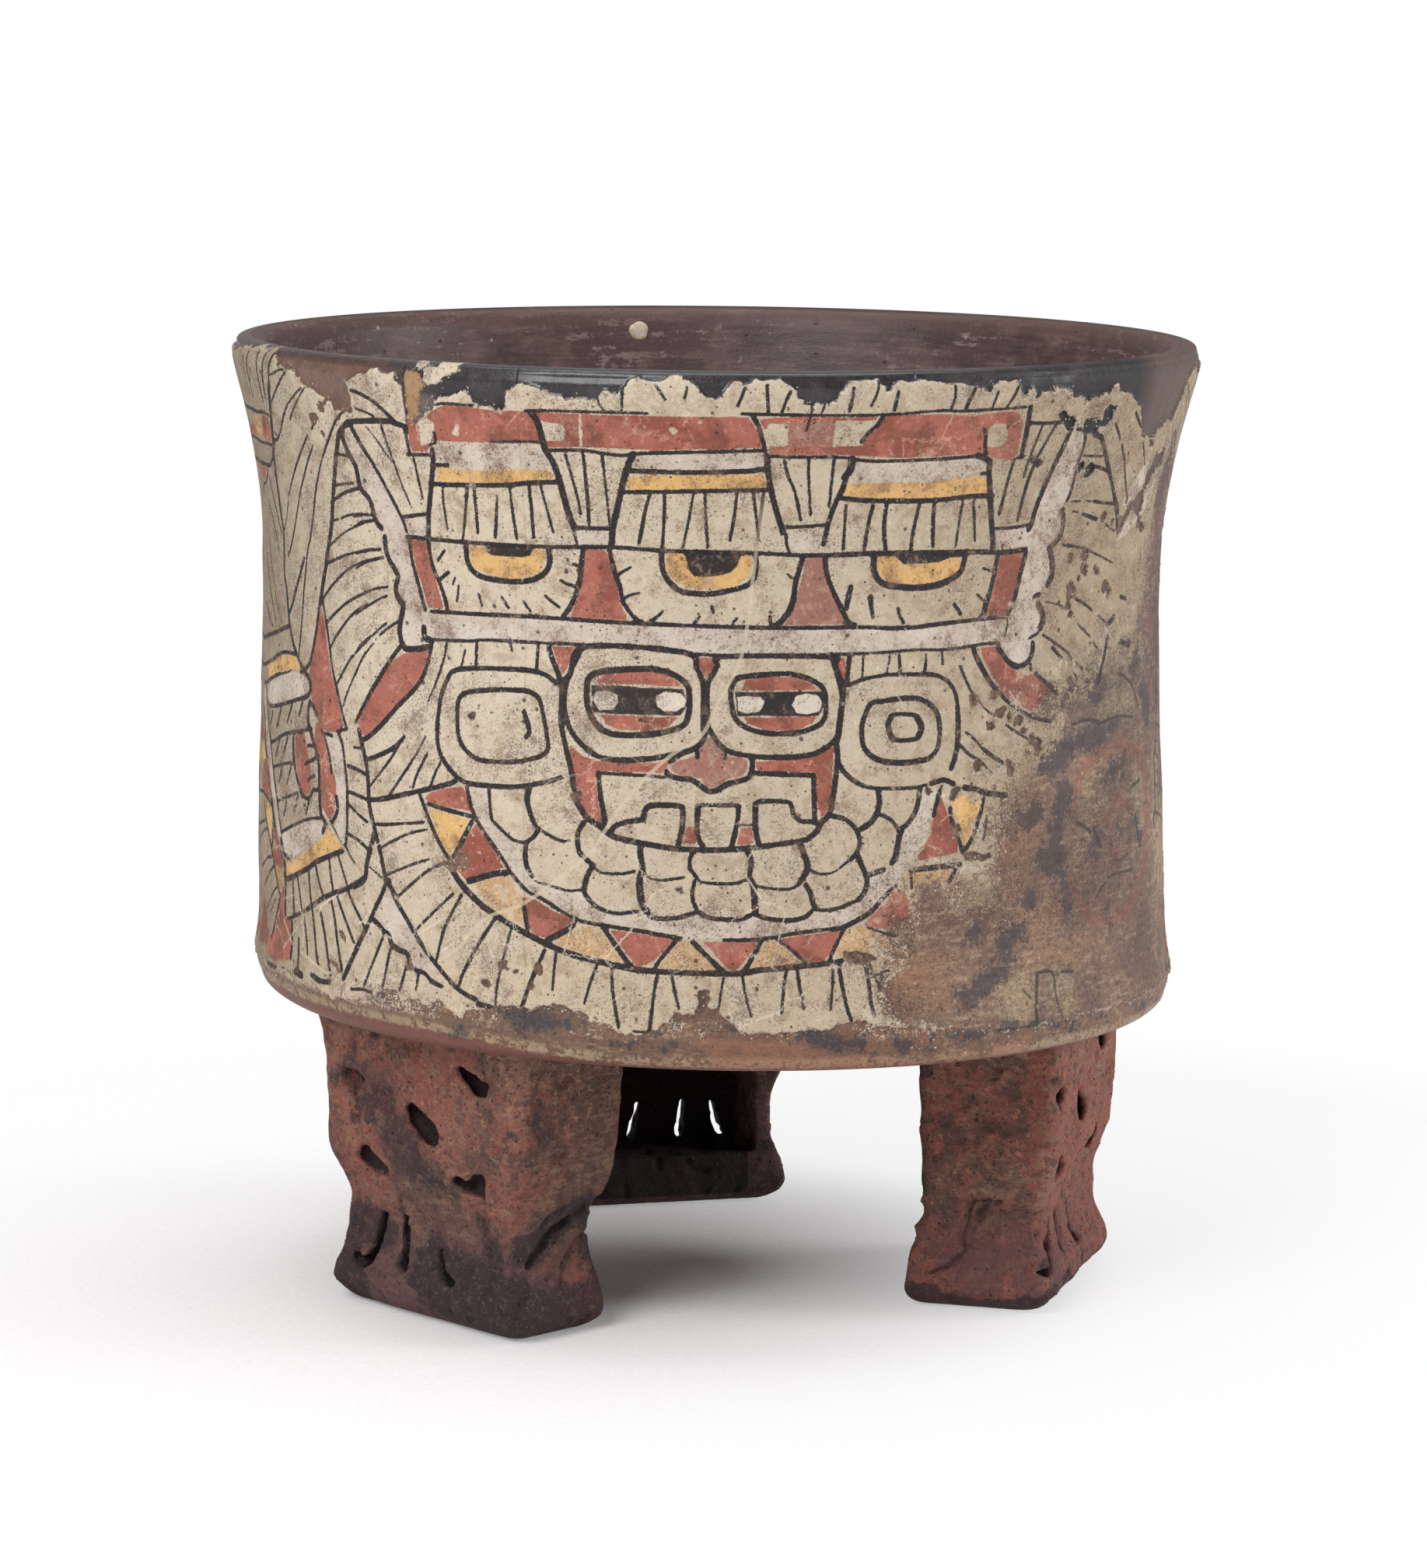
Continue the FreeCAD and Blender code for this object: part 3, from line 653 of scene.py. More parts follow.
# Painted areas by colour, each row one outline, written in the same way. Bare is where the stucco is
# gone, and bald is where only the red paint is.
AREAS = {
    "dark": """
-198,1146 48,1 105,-2 7,-25 -12,-18 -145,0
40,1142 147,1 3,-23 -10,-17 -135,0
-390,1372 4,-16 11,-5 55,0 13,4 5,15
-50,1373 110,-1 -16,-7 -4,-17 -10,-10 -20,-6 -25,-3 -15,1 -9,13 -4,17
303,1365 22,-17 25,-1 40,2 20,6 30,1 0,9
548,1521 12,-8 15,-3 5,-6 -13,-7 -14,8
""",
    "white": """
-197,1125 7,12 20,2 16,-7 1,-12 -9,-11 -23,-3
-90,1132 15,9 25,-2 11,-11 -4,-11 -12,-8 -20,-1 -13,8
43,1134 17,2 22,-2 7,-9 -7,-15 -22,-3 -14,5
142,1136 18,4 18,-4 7,-11 -3,-15 -22,-4 -18,2 -6,12
""",
    "red": """
-520,1572 18,0 0,-36 22,-4 10,5 110,2 78,5 12,-8 56,3 1,55 -147,-1 -70,7 -20,-5 -20,-10 -20,-15 -10,20
  -20,-4
-208,1539 108,-2 176,5 -8,24 -18,27 -258,0
90,1592 -22,-4 10,-18 5,13 30,-2 17,3 122,3 2,6
-482,1529 -3,-11 -32,-4 -6,12 0,44 19,0 0,-34
85,1544 149,0 6,16 15,14 13,20 92,1 60,-6 50,6 35,-2 13,-16 3,-27 -1,-30 -10,-7 -30,1 -20,9 -60,3 -100,-3
  -80,6 -130,4
-190,1152 15,14 35,6 40,2 30,-6 18,-11 5,-8
-185,1099 15,-16 20,-8 50,2 30,5 17,17
50,1144 8,18 22,5 30,2 30,-3 28,-10 11,-11
53,1101 12,-12 25,-9 30,-2 30,4 20,10 9,10
-268,1208 45,0 -24,-48 -11,20
-30,1198 45,0 -22,-35
204,1198 19,-1 4,-17 2,-23 -6,-3
-210,1370 30,0 10,-10 4,-20 18,-60 10,-25 -97,1 17,54
-547,1366 41,0 4,-26 28,-85 -33,0 -25,65
515,1357 55,1 -8,-18 -19,-65 -8,-2 5,-21 -47,0 -1,18 13,40
-236,1048 26,-20 30,-6 90,2 30,9 -18,-26 -110,-1 0,-26 3,-30 7,-27 -8,-3 -17,13 -11,17 -15,50 -6,30
72,1029 58,3 55,7 15,13 7,1 -6,-63 -5,-30 -7,-20 -6,-4 -7,24 -1,50 -97,2
-44,893 2,17 6,12 9,-2 5,-15 0,-14
44,893 4,27 19,2 4,-17 0,-11
-506,1185 0,-15 -6,-20 -10,-20 -13,-18 -70,-59 -25,-18 -22,-12 -13,7 -6,11 6,14 40,60 20,25 20,19 25,14
475,1205 35,-2 25,-28 12,-10 11,-5 12,-2 12,-8 10,3 16,-5 35,-26 4,-6 -24,-3 -9,-13 -27,-8 -17,8 -15,10
  -15,5 -17,10 -8,15 -10,10 -23,35
-507,935 17,15 55,12 7,-2 16,-38 -85,5
-403,904 41,-51 11,-19 -59,-20 -14,-8 -19,16 -4,15 30,50
-320,789 25,-3 35,-18 34,-9 -24,-22 -25,-13 -22,2 -13,24
-168,745 110,-9 -35,-39 -29,-12
-15,732 97,3 -42,-50 -11,-1
110,738 107,13 -22,-41 -12,-11 -26,-1
397,965 -17,-45 -2,-18 -28,-37 5,-5 45,5 27,5 3,15
310,820 15,-10 10,-15 0,-20 -5,-15 -20,-8 -25,-2 -25,3 -7,7 22,18 27,27
-790,1227 10,-17 22,-70 30,-67 12,-23 6,-17 -15,-11 -35,-5 -20,5 -15,13 -25,32 -3,23 -7,22 16,45 11,43
-800,1030 15,-2 12,-15 15,-23 20,-37 10,-23 1,-25 -6,-22 -15,-17 -12,9 -13,13 -5,27 -1,25 -6,23 -20,37
-880,995 20,8 20,0 4,-13 16,-30 7,-20 0,-20 3,-10 -15,-10 -20,-3 -15,23 -18,50
-1120,1010 25,-25 15,-20 2,-8 -42,-2
-1075,925 25,5 15,-10 28,-47 -8,-11 -35,2 -35,11 -5,25
-988,816 13,-6 38,-37 4,-13 -10,-7 -17,2 -20,-2 -17,10 -3,17 2,20
-930,730 4,-20 1,-30 5,-10 20,2 12,3 -1,-72 -31,-8 -40,-7 -40,0 -40,17 -60,-10 -20,25 40,40 10,35 15,-10
  25,-47 20,-15 10,2 45,75 15,15
-1120,1500 10,15 50,5 20,-5 10,-12 -20,-5
-970,1542 37,1 1,-23 -8,-20 -30,-3 -20,6 10,22
-1060,1450 50,0 7,-5 -22,-15 -20,-7 -15,12
""",
    "pink": """
-3,1068 13,-8 10,-10 3,-13 27,1 11,-8 1,-14 -10,-12 -22,-4 -15,-11 -15,-4 -11,4 -3,11 -26,1 -18,6 -8,9
  8,11 18,5 18,8 9,20
152,1359 31,2 5,-21 9,-25 25,-55 -2,-8 -102,-2 12,20 8,20 11,45
83,1545 3,-16 101,0 0,65 -73,0 0,-48
""",
    "yellow": """
-470,1493 40,-3 70,2 40,6 50,-1 13,-5 -6,-9 -87,-12 -50,-3 -77,1
-140,1490 30,4 60,4 100,0 30,-2 3,-20 -133,-6 -90,0
205,1482 45,1 100,-1 100,7 15,-6 5,-18 -2,-7 -118,-5 -70,2 -40,4 -30,1 -10,12
-419,1365 0,-25 9,-13 20,-7 35,-6 25,1 25,6 17,9 6,15 -1,21
-75,1368 -1,-28 11,-16 20,-11 25,-4 30,0 30,6 20,15 5,20 -2,16
277,1363 1,-23 7,-14 20,-10 35,-4 30,0 30,4 20,9 12,13 1,14 -10,3 -48,-8 -45,-2 -15,5 -8,9 -10,6
-498,920 82,-11 -12,-24 -15,-25 -14,-17 -23,32
445,963 15,-8 20,-2 -5,-18 -22,-45 -8,-10 -7,10 -4,20 -7,20 -12,25
-1060,1093 20,10 40,2 30,15 20,6 40,6 30,-2 14,-13 -4,-7 -40,-1 -20,-11 -50,-4 -30,-11 -35,-5
-1120,953 40,-5 20,-13 -10,-15 -50,-10
-1065,860 25,2 35,-9 7,-13 -15,-47
-980,752 20,3 25,-5 5,-10 -10,-17 -10,-13 -10,8
-920,748 20,1 30,9 40,17 30,15 40,17 47,15 -32,28 -12,2 -8,-14 -105,-57 -30,-9 -23,-3
-1040,1535 40,5 30,0 -10,-20 -20,-15 -15,-6 -20,16
""",
    "faded": """
-410,808 30,8 35,4 17,-17 10,-18 -1,-25 4,-18 -50,18 -25,18
-263,718 38,24 25,8 10,-1 36,-44 11,-17 -87,17
-88,683 98,2 -43,44 -18,5
62,689 88,7 -30,27 -20,12 -13,-7
225,755 25,1 60,-26 -5,-10 -25,0 -30,-10 -35,-5 -10,15 10,22
330,840 40,3 40,-1 0,-17 -30,-2 -30,-8 -10,0
""",
    "pale": """
840,1410 40,25 30,15 10,30 -20,5 -40,-35 -30,-30
930,1430 70,30 0,-20 -60,-40 -80,-40 -30,-5 10,25 60,15
-480,1510 13,23 37,7 130,-3 27,-5 11,-19 -4,-11 -64,-6 -90,-6 -55,15
-127,1530 127,-1 78,5 2,-26 -80,-5 -134,0
220,1520 30,-4 190,2 18,-10 5,-13 -13,1 -50,-13 -180,-1 -4,13 4,10
-505,1250 155,3 110,0 440,-6 100,-4 215,8 15,-21 -10,-21 -40,0 -80,-5 -100,1 -300,-3 -150,6 -200,3
  -120,-7 -40,-5
-650,1545 20,-33 20,-27 50,-82 10,-25 12,-58 18,-50 15,-20 0,-50 -10,-14 -25,-4 -23,6 -5,12 -2,15 7,38
  -7,7 -9,13 -1,14 5,13 -7,12 -13,16 -7,17 -1,20 -7,15 -8,7 -6,11 -3,14 -6,16 -15,12 -5,12 -3,28 -12,20
  -9,20 -1,18
645,1556 -15,-1 -35,-85 -15,-47 -4,-21 -6,-4 -70,-2 -1,-30 71,-2 1,-8 -25,-88 -13,-23 -8,-27 -9,-14
  17,-24 13,-9 14,-4 15,3 11,8 6,12 3,25 13,13 2,22 -8,20 6,16 19,14 6,23 -8,35 18,15 7,15 -4,32 8,16
  8,64 6,20 -2,27 -8,7
-422,962 42,4 8,-53 17,-18 15,-11 25,-6 7,-41 13,-20 35,-10 45,0 8,-12 17,-14 20,-8 64,5 11,-10 25,-2
  50,11 15,-7 25,-3 43,7 47,-6 45,4 17,12 28,-2 30,3 20,7 10,8 5,20 1,15 19,5 15,8 12,12 3,23 7,22 8,8
  20,30 15,37 23,0 2,-17 -6,-23 -9,-25 -10,-22 -17,-23 -18,-20 -28,-37 -15,-13 -14,-15 -18,-13 -20,-10
  -55,-10 -80,-12 -80,-5 -70,1 -70,10 -80,9 -50,18 -55,24 -48,51 -52,65
-590,770 20,-17 60,-68 25,-32 -15,-13 -25,3 -13,15 -17,10 -25,8 -10,17 -35,19
-225,1398 15,4 35,0 7,-12 -7,-14 -49,0
-555,1398 45,9 6,-7 -2,-25 -39,0
122,1395 28,13 30,-8 0,-22 -50,-5
-1060,1045 7,22 93,23 30,5 20,10 60,0 15,-5 7,-12 -5,-13 -17,-7 -40,-8 -80,-20 -40,-6 -35,-1
-1105,1055 32,-2 15,-28 23,-35 45,-90 22,-37 18,-38 7,-20 -17,10 -35,55 -45,65 -25,45 -20,40
-823,1055 0,-25 10,-23 8,-7 5,15 2,18 -5,10 -12,10
-760,1005 20,14 15,-1 21,-48 2,-30 5,-30 0,-30 -6,-30 -17,-10 -15,15 13,20 2,30 -7,35
-943,800 13,17 30,13 90,29 30,4 10,-6 0,-12 -20,-15 -30,-17 -60,-29 -18,-7 -22,6
""",
    "bald": """
-500,1570 20,4 12,-7 0,-12 -8,-12 -4,-11 -20,-6
-280,1582 10,-5 30,-1 4,-11 -4,-16 -28,-2 -5,18
452,1567 10,8 22,-2 7,-8 2,-19 -8,-8 -20,-3 -12,4 -4,11
-435,1550 10,18 6,-2 -4,-20
-73,1573 10,3 7,-7 -10,-6
""",
    "bare": """
705,1569 0,16 15,10 20,-5 -5,-12 -2,-13 -13,-9 -20,-4 -15,-7 -15,7 -5,12 10,5 15,-4
830,1398 0,-33 20,10 10,15 20,15 20,-10 25,3 0,32 15,15 30,20 30,5 0,30 -30,-10 -20,5 -15,-20 -15,-7
  -10,-8 5,-20 -25,-15 -30,-10 -15,-20
-68,600 5,21 13,-11 20,2 10,10 -3,28 18,0 -2,-25 17,-5 22,-25 -22,-15 -30,-5
-725,678 11,4 12,-12 -1,-10 -13,8
-763,630 31,-4 22,-23 -16,11
425,980 15,-5 -10,-17 -10,-8 -5,10
220,713 20,4 35,-17 -15,-10 -30,3 -7,10
443,865 57,-4 0,-9 -55,3
""",
}
# Upper edge of the stucco across the front, then round the back.
STUCCO_TOP = """
-1120,1640 50,6 30,9 60,3 7,-3 23,9 30,-4 30,4 30,-1 6,-10 4,-23
17,10 13,-5 15,-2 20,-5 15,-10 10,-11 20,-7 20,-7 17,-8 13,-9 20,0
20,-4 7,4 1,24 -3,25 45,13 7,8 53,-2 8,-14 8,-10 -1,-50
10,-6 19,6 23,14 11,22 22,7 40,9 10,-20 20,-6 20,-2 17,5
3,24 15,10 15,5 17,-4 13,-9 20,-3 15,-9 25,4 27,-2 3,15
13,3 14,-6 13,10 8,13 22,3 15,-9 10,11 35,-1 18,-11 4,-15
15,-8 13,-1 12,6 6,13 7,8 45,6 30,2 20,-17 5,-17 12,-8 13,-3 20,6
20,8 7,10 5,17 23,2 25,0 20,-6 15,3 15,3 30,1 30,-8 40,-3
25,-6 10,-5 10,-1 5,10 10,3 35,2 7,-11 3,-14 13,0 2,15 10,-2
6,-9 3,-12 5,11 11,3 45,-1 15,-5 5,-7 25,-5 10,-8 12,7 23,1
20,6 16,11 8,-12 26,-1 20,-10 17,-4 8,-11 15,-9 18,-18 2,-10 10,-10
13,-15 17,8 10,-13 10,-10 15,0 0,25 25,5 30,8 30,-3 20,35 20,46 40,4
50,-10 50,15 60,-11 70,16 60,-10 50,16 80,-8 70,12 90,-15 50,12 70,-21 80,14
90,-6 90,16 80,-18 90,12 120,6 70,-20 70,12 90,-14 60,18 90,-12 120,6
"""
STUCCO_TOP_LEFT = "-2200,1640 90,8 80,-18 80,14 70,-18 80,14 90,10 80,-18 80,13 90,-15 80,16 90,-12 90,16"
# Lower edge of the stucco, then round the back.
STUCCO_FOOT = """
-2200,580 120,-10 120,16 120,-10 130,14 110,-16 120,8 120,-12 120,10 120,-10 80,5 80,-5 40,10
20,3 30,-8 30,-5 40,3 40,2 30,-10 50,5 40,5 15,15 55,10 15,-10 35,7 20,-12
20,15 50,-27 20,17 70,12 40,1 10,9 40,2 30,-9 20,-10 30,-7 30,-13 50,8 15,12
125,-10 70,0 60,5 60,8 60,-8 60,-6 80,-10 80,-12 80,1 80,1 100,6 120,-4 140,9 140,-7
160,12 160,-10 160,14 160,-12 160,14 160,-16 160,14 160,-10 160,8 210,-2
"""
# Round chips in the stucco as width round the wall, height and radius.
CHIPS = """
-41.7,108.2,.65 -22.3,96.2,.9 -43,83.7,1.2 -45.6,82.8,1 -35.7,67,.8 -33.1,66.2,.5
-38.6,63.7,.6 -29.3,66.9,.9
-30.6,64,.5 -54.2,64.7,.7 -5,81.8,.7 37.5,97.2,.7 46.3,111.8,.95 50.7,112.1,1 52.3,109.2,1.2 54,108.3,.9
56,107.7,1.1 50.2,107.2,1.1 49.3,106.2,.5 57.4,106,.8 59,104.3,1 60.5,103.5,.9
61,102.2,.8 62,101.3,.6 53.9,101,.6
54.5,99.5,.8 43,90.7,.8 -72.4,157.5,1.1 -71.2,158.3,.5 -75.5,155,1 -74.4,155.6,.6
-73.7,153,.7 67.2,156.2,.8
77.3,140,1.1 92,138,1.2 94,136.8,1 72.7,134,1.2 68.5,133.7,.8 72.8,131.5,1.2 71.3,130,.8
69,128.2,1.7 68.5,126,1
68.7,124.3,.8 79.8,128.3,1.2 81,127,1 76.5,131.3,.8 80.5,139,.8 26.8,163.8,.35 -83.3,87.7,.4 60.7,158,1
63,156.8,1.1 67.5,149.3,.7 70.3,149,.9 69.5,147.8,.5 88,150,.6 85.6,147,.5 75.3,119,.6 47.3,101.1,.8
"""
# The great worn patch at the lower right of the front, and smaller ones round the back.
WORN = """
300,600 -10,60 15,60 25,40 10,40 5,30 35,2 30,-12 20,-20 30,0 20,40 20,30 10,50 15,40 25,30 30,25 40,10
  40,25 15,50 45,15 40,35 60,25 80,5 60,50 30,80 20,100 5,90 25,30 40,-10 40,-60 60,-60 60,-120 30,-160
  20,-120 -10,-120 -20,-120 -40,-100 -40,-90 -80,-50 -180,0 -320,0 -200,0
320,810 30,10 50,3 40,-8 10,-13 -30,-10 -10,-19 -20,-3 -10,20 -40,5
305,760 25,0 30,-20 0,-60 -20,-20 -30,-10 -7,50
600,1113 15,7 35,-2 30,12 20,-25 0,-35 -40,-2 -30,4 -20,11 -14,15
1800,960 60,80 90,40 100,-50 30,-90 -60,-100 -120,-20 -80,60
-2060,700 80,100 100,40 120,-50 40,-110 -60,-80 -180,-20
1500,570 80,60 100,30 100,-40 40,-60 -160,-30
-1500,1400 60,70 80,20 50,-60 -30,-70 -90,-20
"""
# Islands of plaster left on the bare rim.
ISLANDS = """
-500,1666 22,-2 1,-6 12,-4 10,6 -2,6 37,6 0,-22 -10,-4 -12,-4 -11,-7 -15,-3 -11,-1 -1,12 -4,9 -14,2
1010,1470 30,6 30,-4 0,-14 -40,-2
"""
# Soft-edged stains: dark smears, rust, sand, and stucco left inside the worn patch.
STAINS = {
    "smear": """
650,970 30,15 20,-35 -10,-30 -17,-20 -8,-20 10,-30 -5,-30 10,-20 15,-30 -5,-30 -20,-5 -5,35 -15,30 -30,20
  -20,20 25,30 5,30 15,30
610,990 40,40 50,15 10,-35 -30,-30 -40,-10
555,785 25,10 25,-5 -5,-20 -20,-10 -20,5
510,710 15,25 25,5 28,-5 -3,-20 -25,-5 -5,-15 -2,-20 -13,-10 -15,5 -10,20
420,635 30,20 30,13 20,12 35,-2 5,-13 -30,-20 -25,-23 -25,-7 -20,-3
700,1030 20,20 40,3 40,-3 60,3 -20,-21 -40,-17 -40,-5 -40,0
800,970 40,10 40,15 20,-15 -20,-25 -40,-5 -30,5
735,855 25,25 15,-10 15,-15 -10,-15 -25,-10 -20,0
840,870 20,0 5,-15 -20,-5
915,880 15,0 15,-30 10,-25 -15,0 -20,25
960,1090 40,10 30,-30 0,-40 -30,-20 -15,30 -15,20
740,1170 40,10 20,-50 -20,-50 -30,0
850,1185 30,10 20,-15 -15,-15 -25,5
900,1130 40,30 20,-20 -20,-30 -20,0
560,920 40,30 20,-30 -30,-30 -30,5
440,750 40,-10 -10,-30 -30,10
-160,560 30,10 10,-15 -15,-15 -20,3
-95,560 35,10 10,-15 -30,-10
-450,555 30,5 0,-15 -30,-2
-360,595 60,10 60,-5 30,-10 -50,-20 -70,0
15,560 35,5 0,-20 -30,-5
120,580 50,10 50,-10 35,-15 -15,-17 -40,2 -30,15 -40,5
300,570 40,-5 -10,-25 -15,-5 -10,15
350,550 30,-5 -5,-15 -15,0
400,575 130,1 30,-8 -30,-10 -70,-4 -60,6
465,550 20,-10 -5,-17 -15,7
570,575 30,15 0,-20 90,-2 0,-10 -90,2
720,580 20,0 0,-20 -20,0
10,577 35,-1 60,0 0,-6 -60,0 -35,1
-125,585 42,-2 0,-5 -42,2
-900,598 280,0 10,-6 -150,-3 -140,-1
""",
    "rust": """
560,920 40,10 40,-10 -10,-40 -30,-20 -20,-40 20,-50 40,10 20,-20 0,-40 -40,-20 -40,0 -5,30 -15,20 -20,30
  -10,40 0,60
640,668 50,12 30,-4 20,-16 -30,-4 -50,2
700,1005 100,8 120,2 50,-25 -10,-15 -100,15 -100,-4
300,690 50,20 50,-10 30,-40 -30,-40 -60,-10 -40,20
-20,570 50,5 70,-5 100,-30 140,-15 100,5 140,15 0,-25 -380,-5 -200,5
580,700 80,10 120,-10 0,-30 -120,10 -80,-10
""",
    "sand": """
-522,1570 0,40 4,33 10,9 22,-9 5,-15 -13,-18 -5,-25 -5,-15
""",
    "remains": """
910,970 30,5 30,-25 0,-50 -10,-60 -10,-20 -20,10 -10,40 -10,40 -5,40
510,650 30,5 45,-10 5,-45 -10,-22 -50,0 -30,12 5,30
620,643 40,-1 30,-6 5,-36 -15,-25 -26,-5 -10,30
715,965 35,5 10,-20 -20,-15 -25,10
1030,960 70,20 80,-40 20,-140 -80,-80 -70,20 -30,100
540,1000 40,30 40,10 40,-10 -40,-35 -50,-25
520,980 40,30 30,-20 -20,-40 -30,-10
430,775 40,10 30,5 10,30 -50,0
780,1080 60,30 60,-10 20,-35 -80,-5 -60,0
800,1135 40,25 60,5 60,15 20,-40 -60,-10 -60,10
""",
}
# Red painting that still shows faintly on the worn patch.
GHOSTS = """
2.8: 685,790 10,-20 45,-38 60,-16 60,4 60,25 40,40 20,45 5,50 -5,50 -20,40 -50,25 -70,10 -70,-5 -50,-30
  -20,-40
1.8o: 820,910 20,6 40,-6 20,-30 -10,-40 -30,-15 -40,10 -10,35
1.6: 1030,1400 15,-120 -15,-120 20,-80
"""
# Pale repair line and fine cracks.
CRACKS = """
.6: 80,1470 -15,-160 -15,-110 -40,-80 -25,-50 -45,-30 -40,-35 -40,-45 -30,-45 -30,-45 -60,-50 -30,-25
  -40,-25 -50,-20 -30,-25 -30,-35 -40,-25
.5: -575,760 25,-17 28,-13 7,-15 5,-25 10,-20
.35: -528,860 3,-30 12,-50
.45: 135,1660 8,-15 1,-20 4,-20 -6,-35
.4: -520,1660 -2,-60 -2,-55
.9>.5: -770,878 20,-18 25,-23 20,-14 15,-15 27,-23
.35: 303,1156 17,-27 14,-23
.3: 244,1247 21,-39 25,-36
.5: -850,623 40,-7 50,-12 20,2
-930,665 20,-15 22,-20
.3: 1710,1500 50,-120 -20,-120 70,-130
.35: -1680,1320 80,-110 -30,-110
"""


def numbers(text):
    """Places written as x,y pairs."""
    return np.array([[float(n) for n in pair.split(",")] for pair in text.split()])


def stepped(text):
    """Places in mm, written as the first one and the step on to each next one in tenths of a mm."""
    return np.cumsum(numbers(text), axis=0) * TENTH


def rows_of(text):
    """The rows of a drawing; a row goes on in the lines below it that are set in."""
    return text.strip().replace("\n  ", " ").splitlines()


def flowing(points, closed, steps=5):
    """The same places joined by a smooth curve that passes through each of them."""
    if closed:
        ring = np.vstack([points[-1:], points, points[:2]])
    else:
        ring = np.vstack([2 * points[0] - points[1], points, 2 * points[-1] - points[-2]])
    if len(ring) < 4:
        return points
    t = np.linspace(0, 1, steps, endpoint=False)[:, None]
    runs = []
    for a, b, c, d in zip(ring[:-3], ring[1:-2], ring[2:-1], ring[3:]):
        runs.append(
            0.5 * (2 * b + (c - a) * t + (2 * a - 5 * b + 4 * c - d) * t**2 + (3 * b - a - 3 * c + d) * t**3)
        )
    return np.vstack(runs + [ring[-2:-1]])


def read_lines(text):
    """Painted lines as (places, half width at each place)."""
    lines = []
    for row in rows_of(text):
        if row.startswith("#"):
            continue
        size, mark, places = row.rpartition(":")
        if mark:
            closed = size.endswith("o")
            widths = [float(w) for w in size.rstrip(" o").split(">")]
        points = flowing(stepped(places), closed)
        half = np.linspace(widths[0] / 2, widths[-1] / 2, len(points))
        lines.append((points, half))
    return lines


def read_areas(text):
    return [stepped(row) for row in rows_of(text)]


def ripple(across, up, cell, seed):
    """Smooth random heights between -1 and 1 that meet themselves after a full turn."""
    turns = max(4, round(ROUND / cell))
    grid = np.random.default_rng(seed).uniform(-1, 1, (turns, 512))
    x = across / ROUND * turns
    y = up / cell + 100
    i, j = np.floor(x).astype(int), np.floor(y).astype(int)
    u, v = x - i, y - j
    u, v = u * u * (3 - 2 * u), v * v * (3 - 2 * v)
    i, k = i % turns, (i + 1) % turns
    j = j % 511
    low = grid[i, j] * (1 - u) + grid[k, j] * u
    high = grid[i, j + 1] * (1 - u) + grid[k, j + 1] * u
    return low * (1 - v) + high * v


def lump(points, cell, seed):
    """Smooth random numbers between -1 and 1 at places in space."""
    grid = np.random.default_rng(seed).uniform(-1, 1, (LUMP_CELLS,) * 3)
    q = points / cell + 1000.5
    base = np.floor(q).astype(int)
    f = q - base
    f = f * f * (3 - 2 * f)
    total = np.zeros(len(points))
    for dx in (0, 1):
        for dy in (0, 1):
            for dz in (0, 1):
                weight = np.prod(np.where((dx, dy, dz), f, 1 - f), axis=1)
                corner = (base + (dx, dy, dz)) % LUMP_CELLS
                total += weight * grid[tuple(corner.T)]
    return total


def ease(value, low, high):
    """0 below low, 1 above high and a smooth rise between."""
    t = np.clip((value - low) / (high - low), 0, 1)
    return t * t * (3 - 2 * t)


class Field:
    """Distances in mm over a grid of widths and heights, above zero inside what is drawn."""

    def __init__(self, across, up, reach=REACH):
        self.across, self.up, self.reach = across, up, reach
        self.values = np.full((len(up), len(across)), -reach)

    def window(self, low, high):
        c0, c1 = np.searchsorted(self.across, [low[0] - self.reach, high[0] + self.reach])
        r0, r1 = np.searchsorted(self.up, [low[1] - self.reach, high[1] + self.reach])
        return slice(r0, r1), slice(c0, c1)

    def gap(self, spot, a, b):
        """Distance from each grid place in the window to the run from a to b, and how far along it lies."""
        x, y = self.across[spot[1]][None, :] - a[0], self.up[spot[0]][:, None] - a[1]
        run = b - a
        along = np.clip((x * run[0] + y * run[1]) / max(run @ run, 1e-9), 0, 1)
        return np.hypot(x - along * run[0], y - along * run[1]), along

    def line(self, points, half):
        for a, b, h0, h1 in zip(points[:-1], points[1:], half[:-1], half[1:]):
            spot = self.window(np.minimum(a, b), np.maximum(a, b))
            if spot[0].start >= spot[0].stop or spot[1].start >= spot[1].stop:
                continue
            gap, along = self.gap(spot, a, b)
            inside = h0 + (h1 - h0) * along - gap
            self.values[spot] = np.maximum(self.values[spot], inside)

    def area(self, points):
        whole = self.window(points.min(0), points.max(0))
        rows, columns = whole
        if rows.start >= rows.stop or columns.start >= columns.stop:
            return
        near = np.full(self.values.shape, self.reach)
        within = np.zeros(self.values.shape, bool)
        for a, b in zip(points, np.roll(points, -1, axis=0)):
            c0, c1 = np.searchsorted(self.across, sorted((a[0], b[0])))
            if c1 > c0:
                s = self.across[c0:c1]
                level = a[1] + (s - a[0]) / (b[0] - a[0]) * (b[1] - a[1])
                within[rows, c0:c1] ^= self.up[rows][:, None] < level[None, :]
            spot = self.window(np.minimum(a, b), np.maximum(a, b))
            if spot[0].start < spot[0].stop and spot[1].start < spot[1].stop:
                near[spot] = np.minimum(near[spot], self.gap(spot, a, b)[0])
        inside = np.where(within, near, -near)[whole]
        self.values[whole] = np.maximum(self.values[whole], inside)

    def dot(self, place, radius):
        spot = self.window(place, place)
        if spot[0].start < spot[0].stop and spot[1].start < spot[1].stop:
            gap = self.gap(spot, place, place)[0]
            self.values[spot] = np.maximum(self.values[spot], radius - gap)


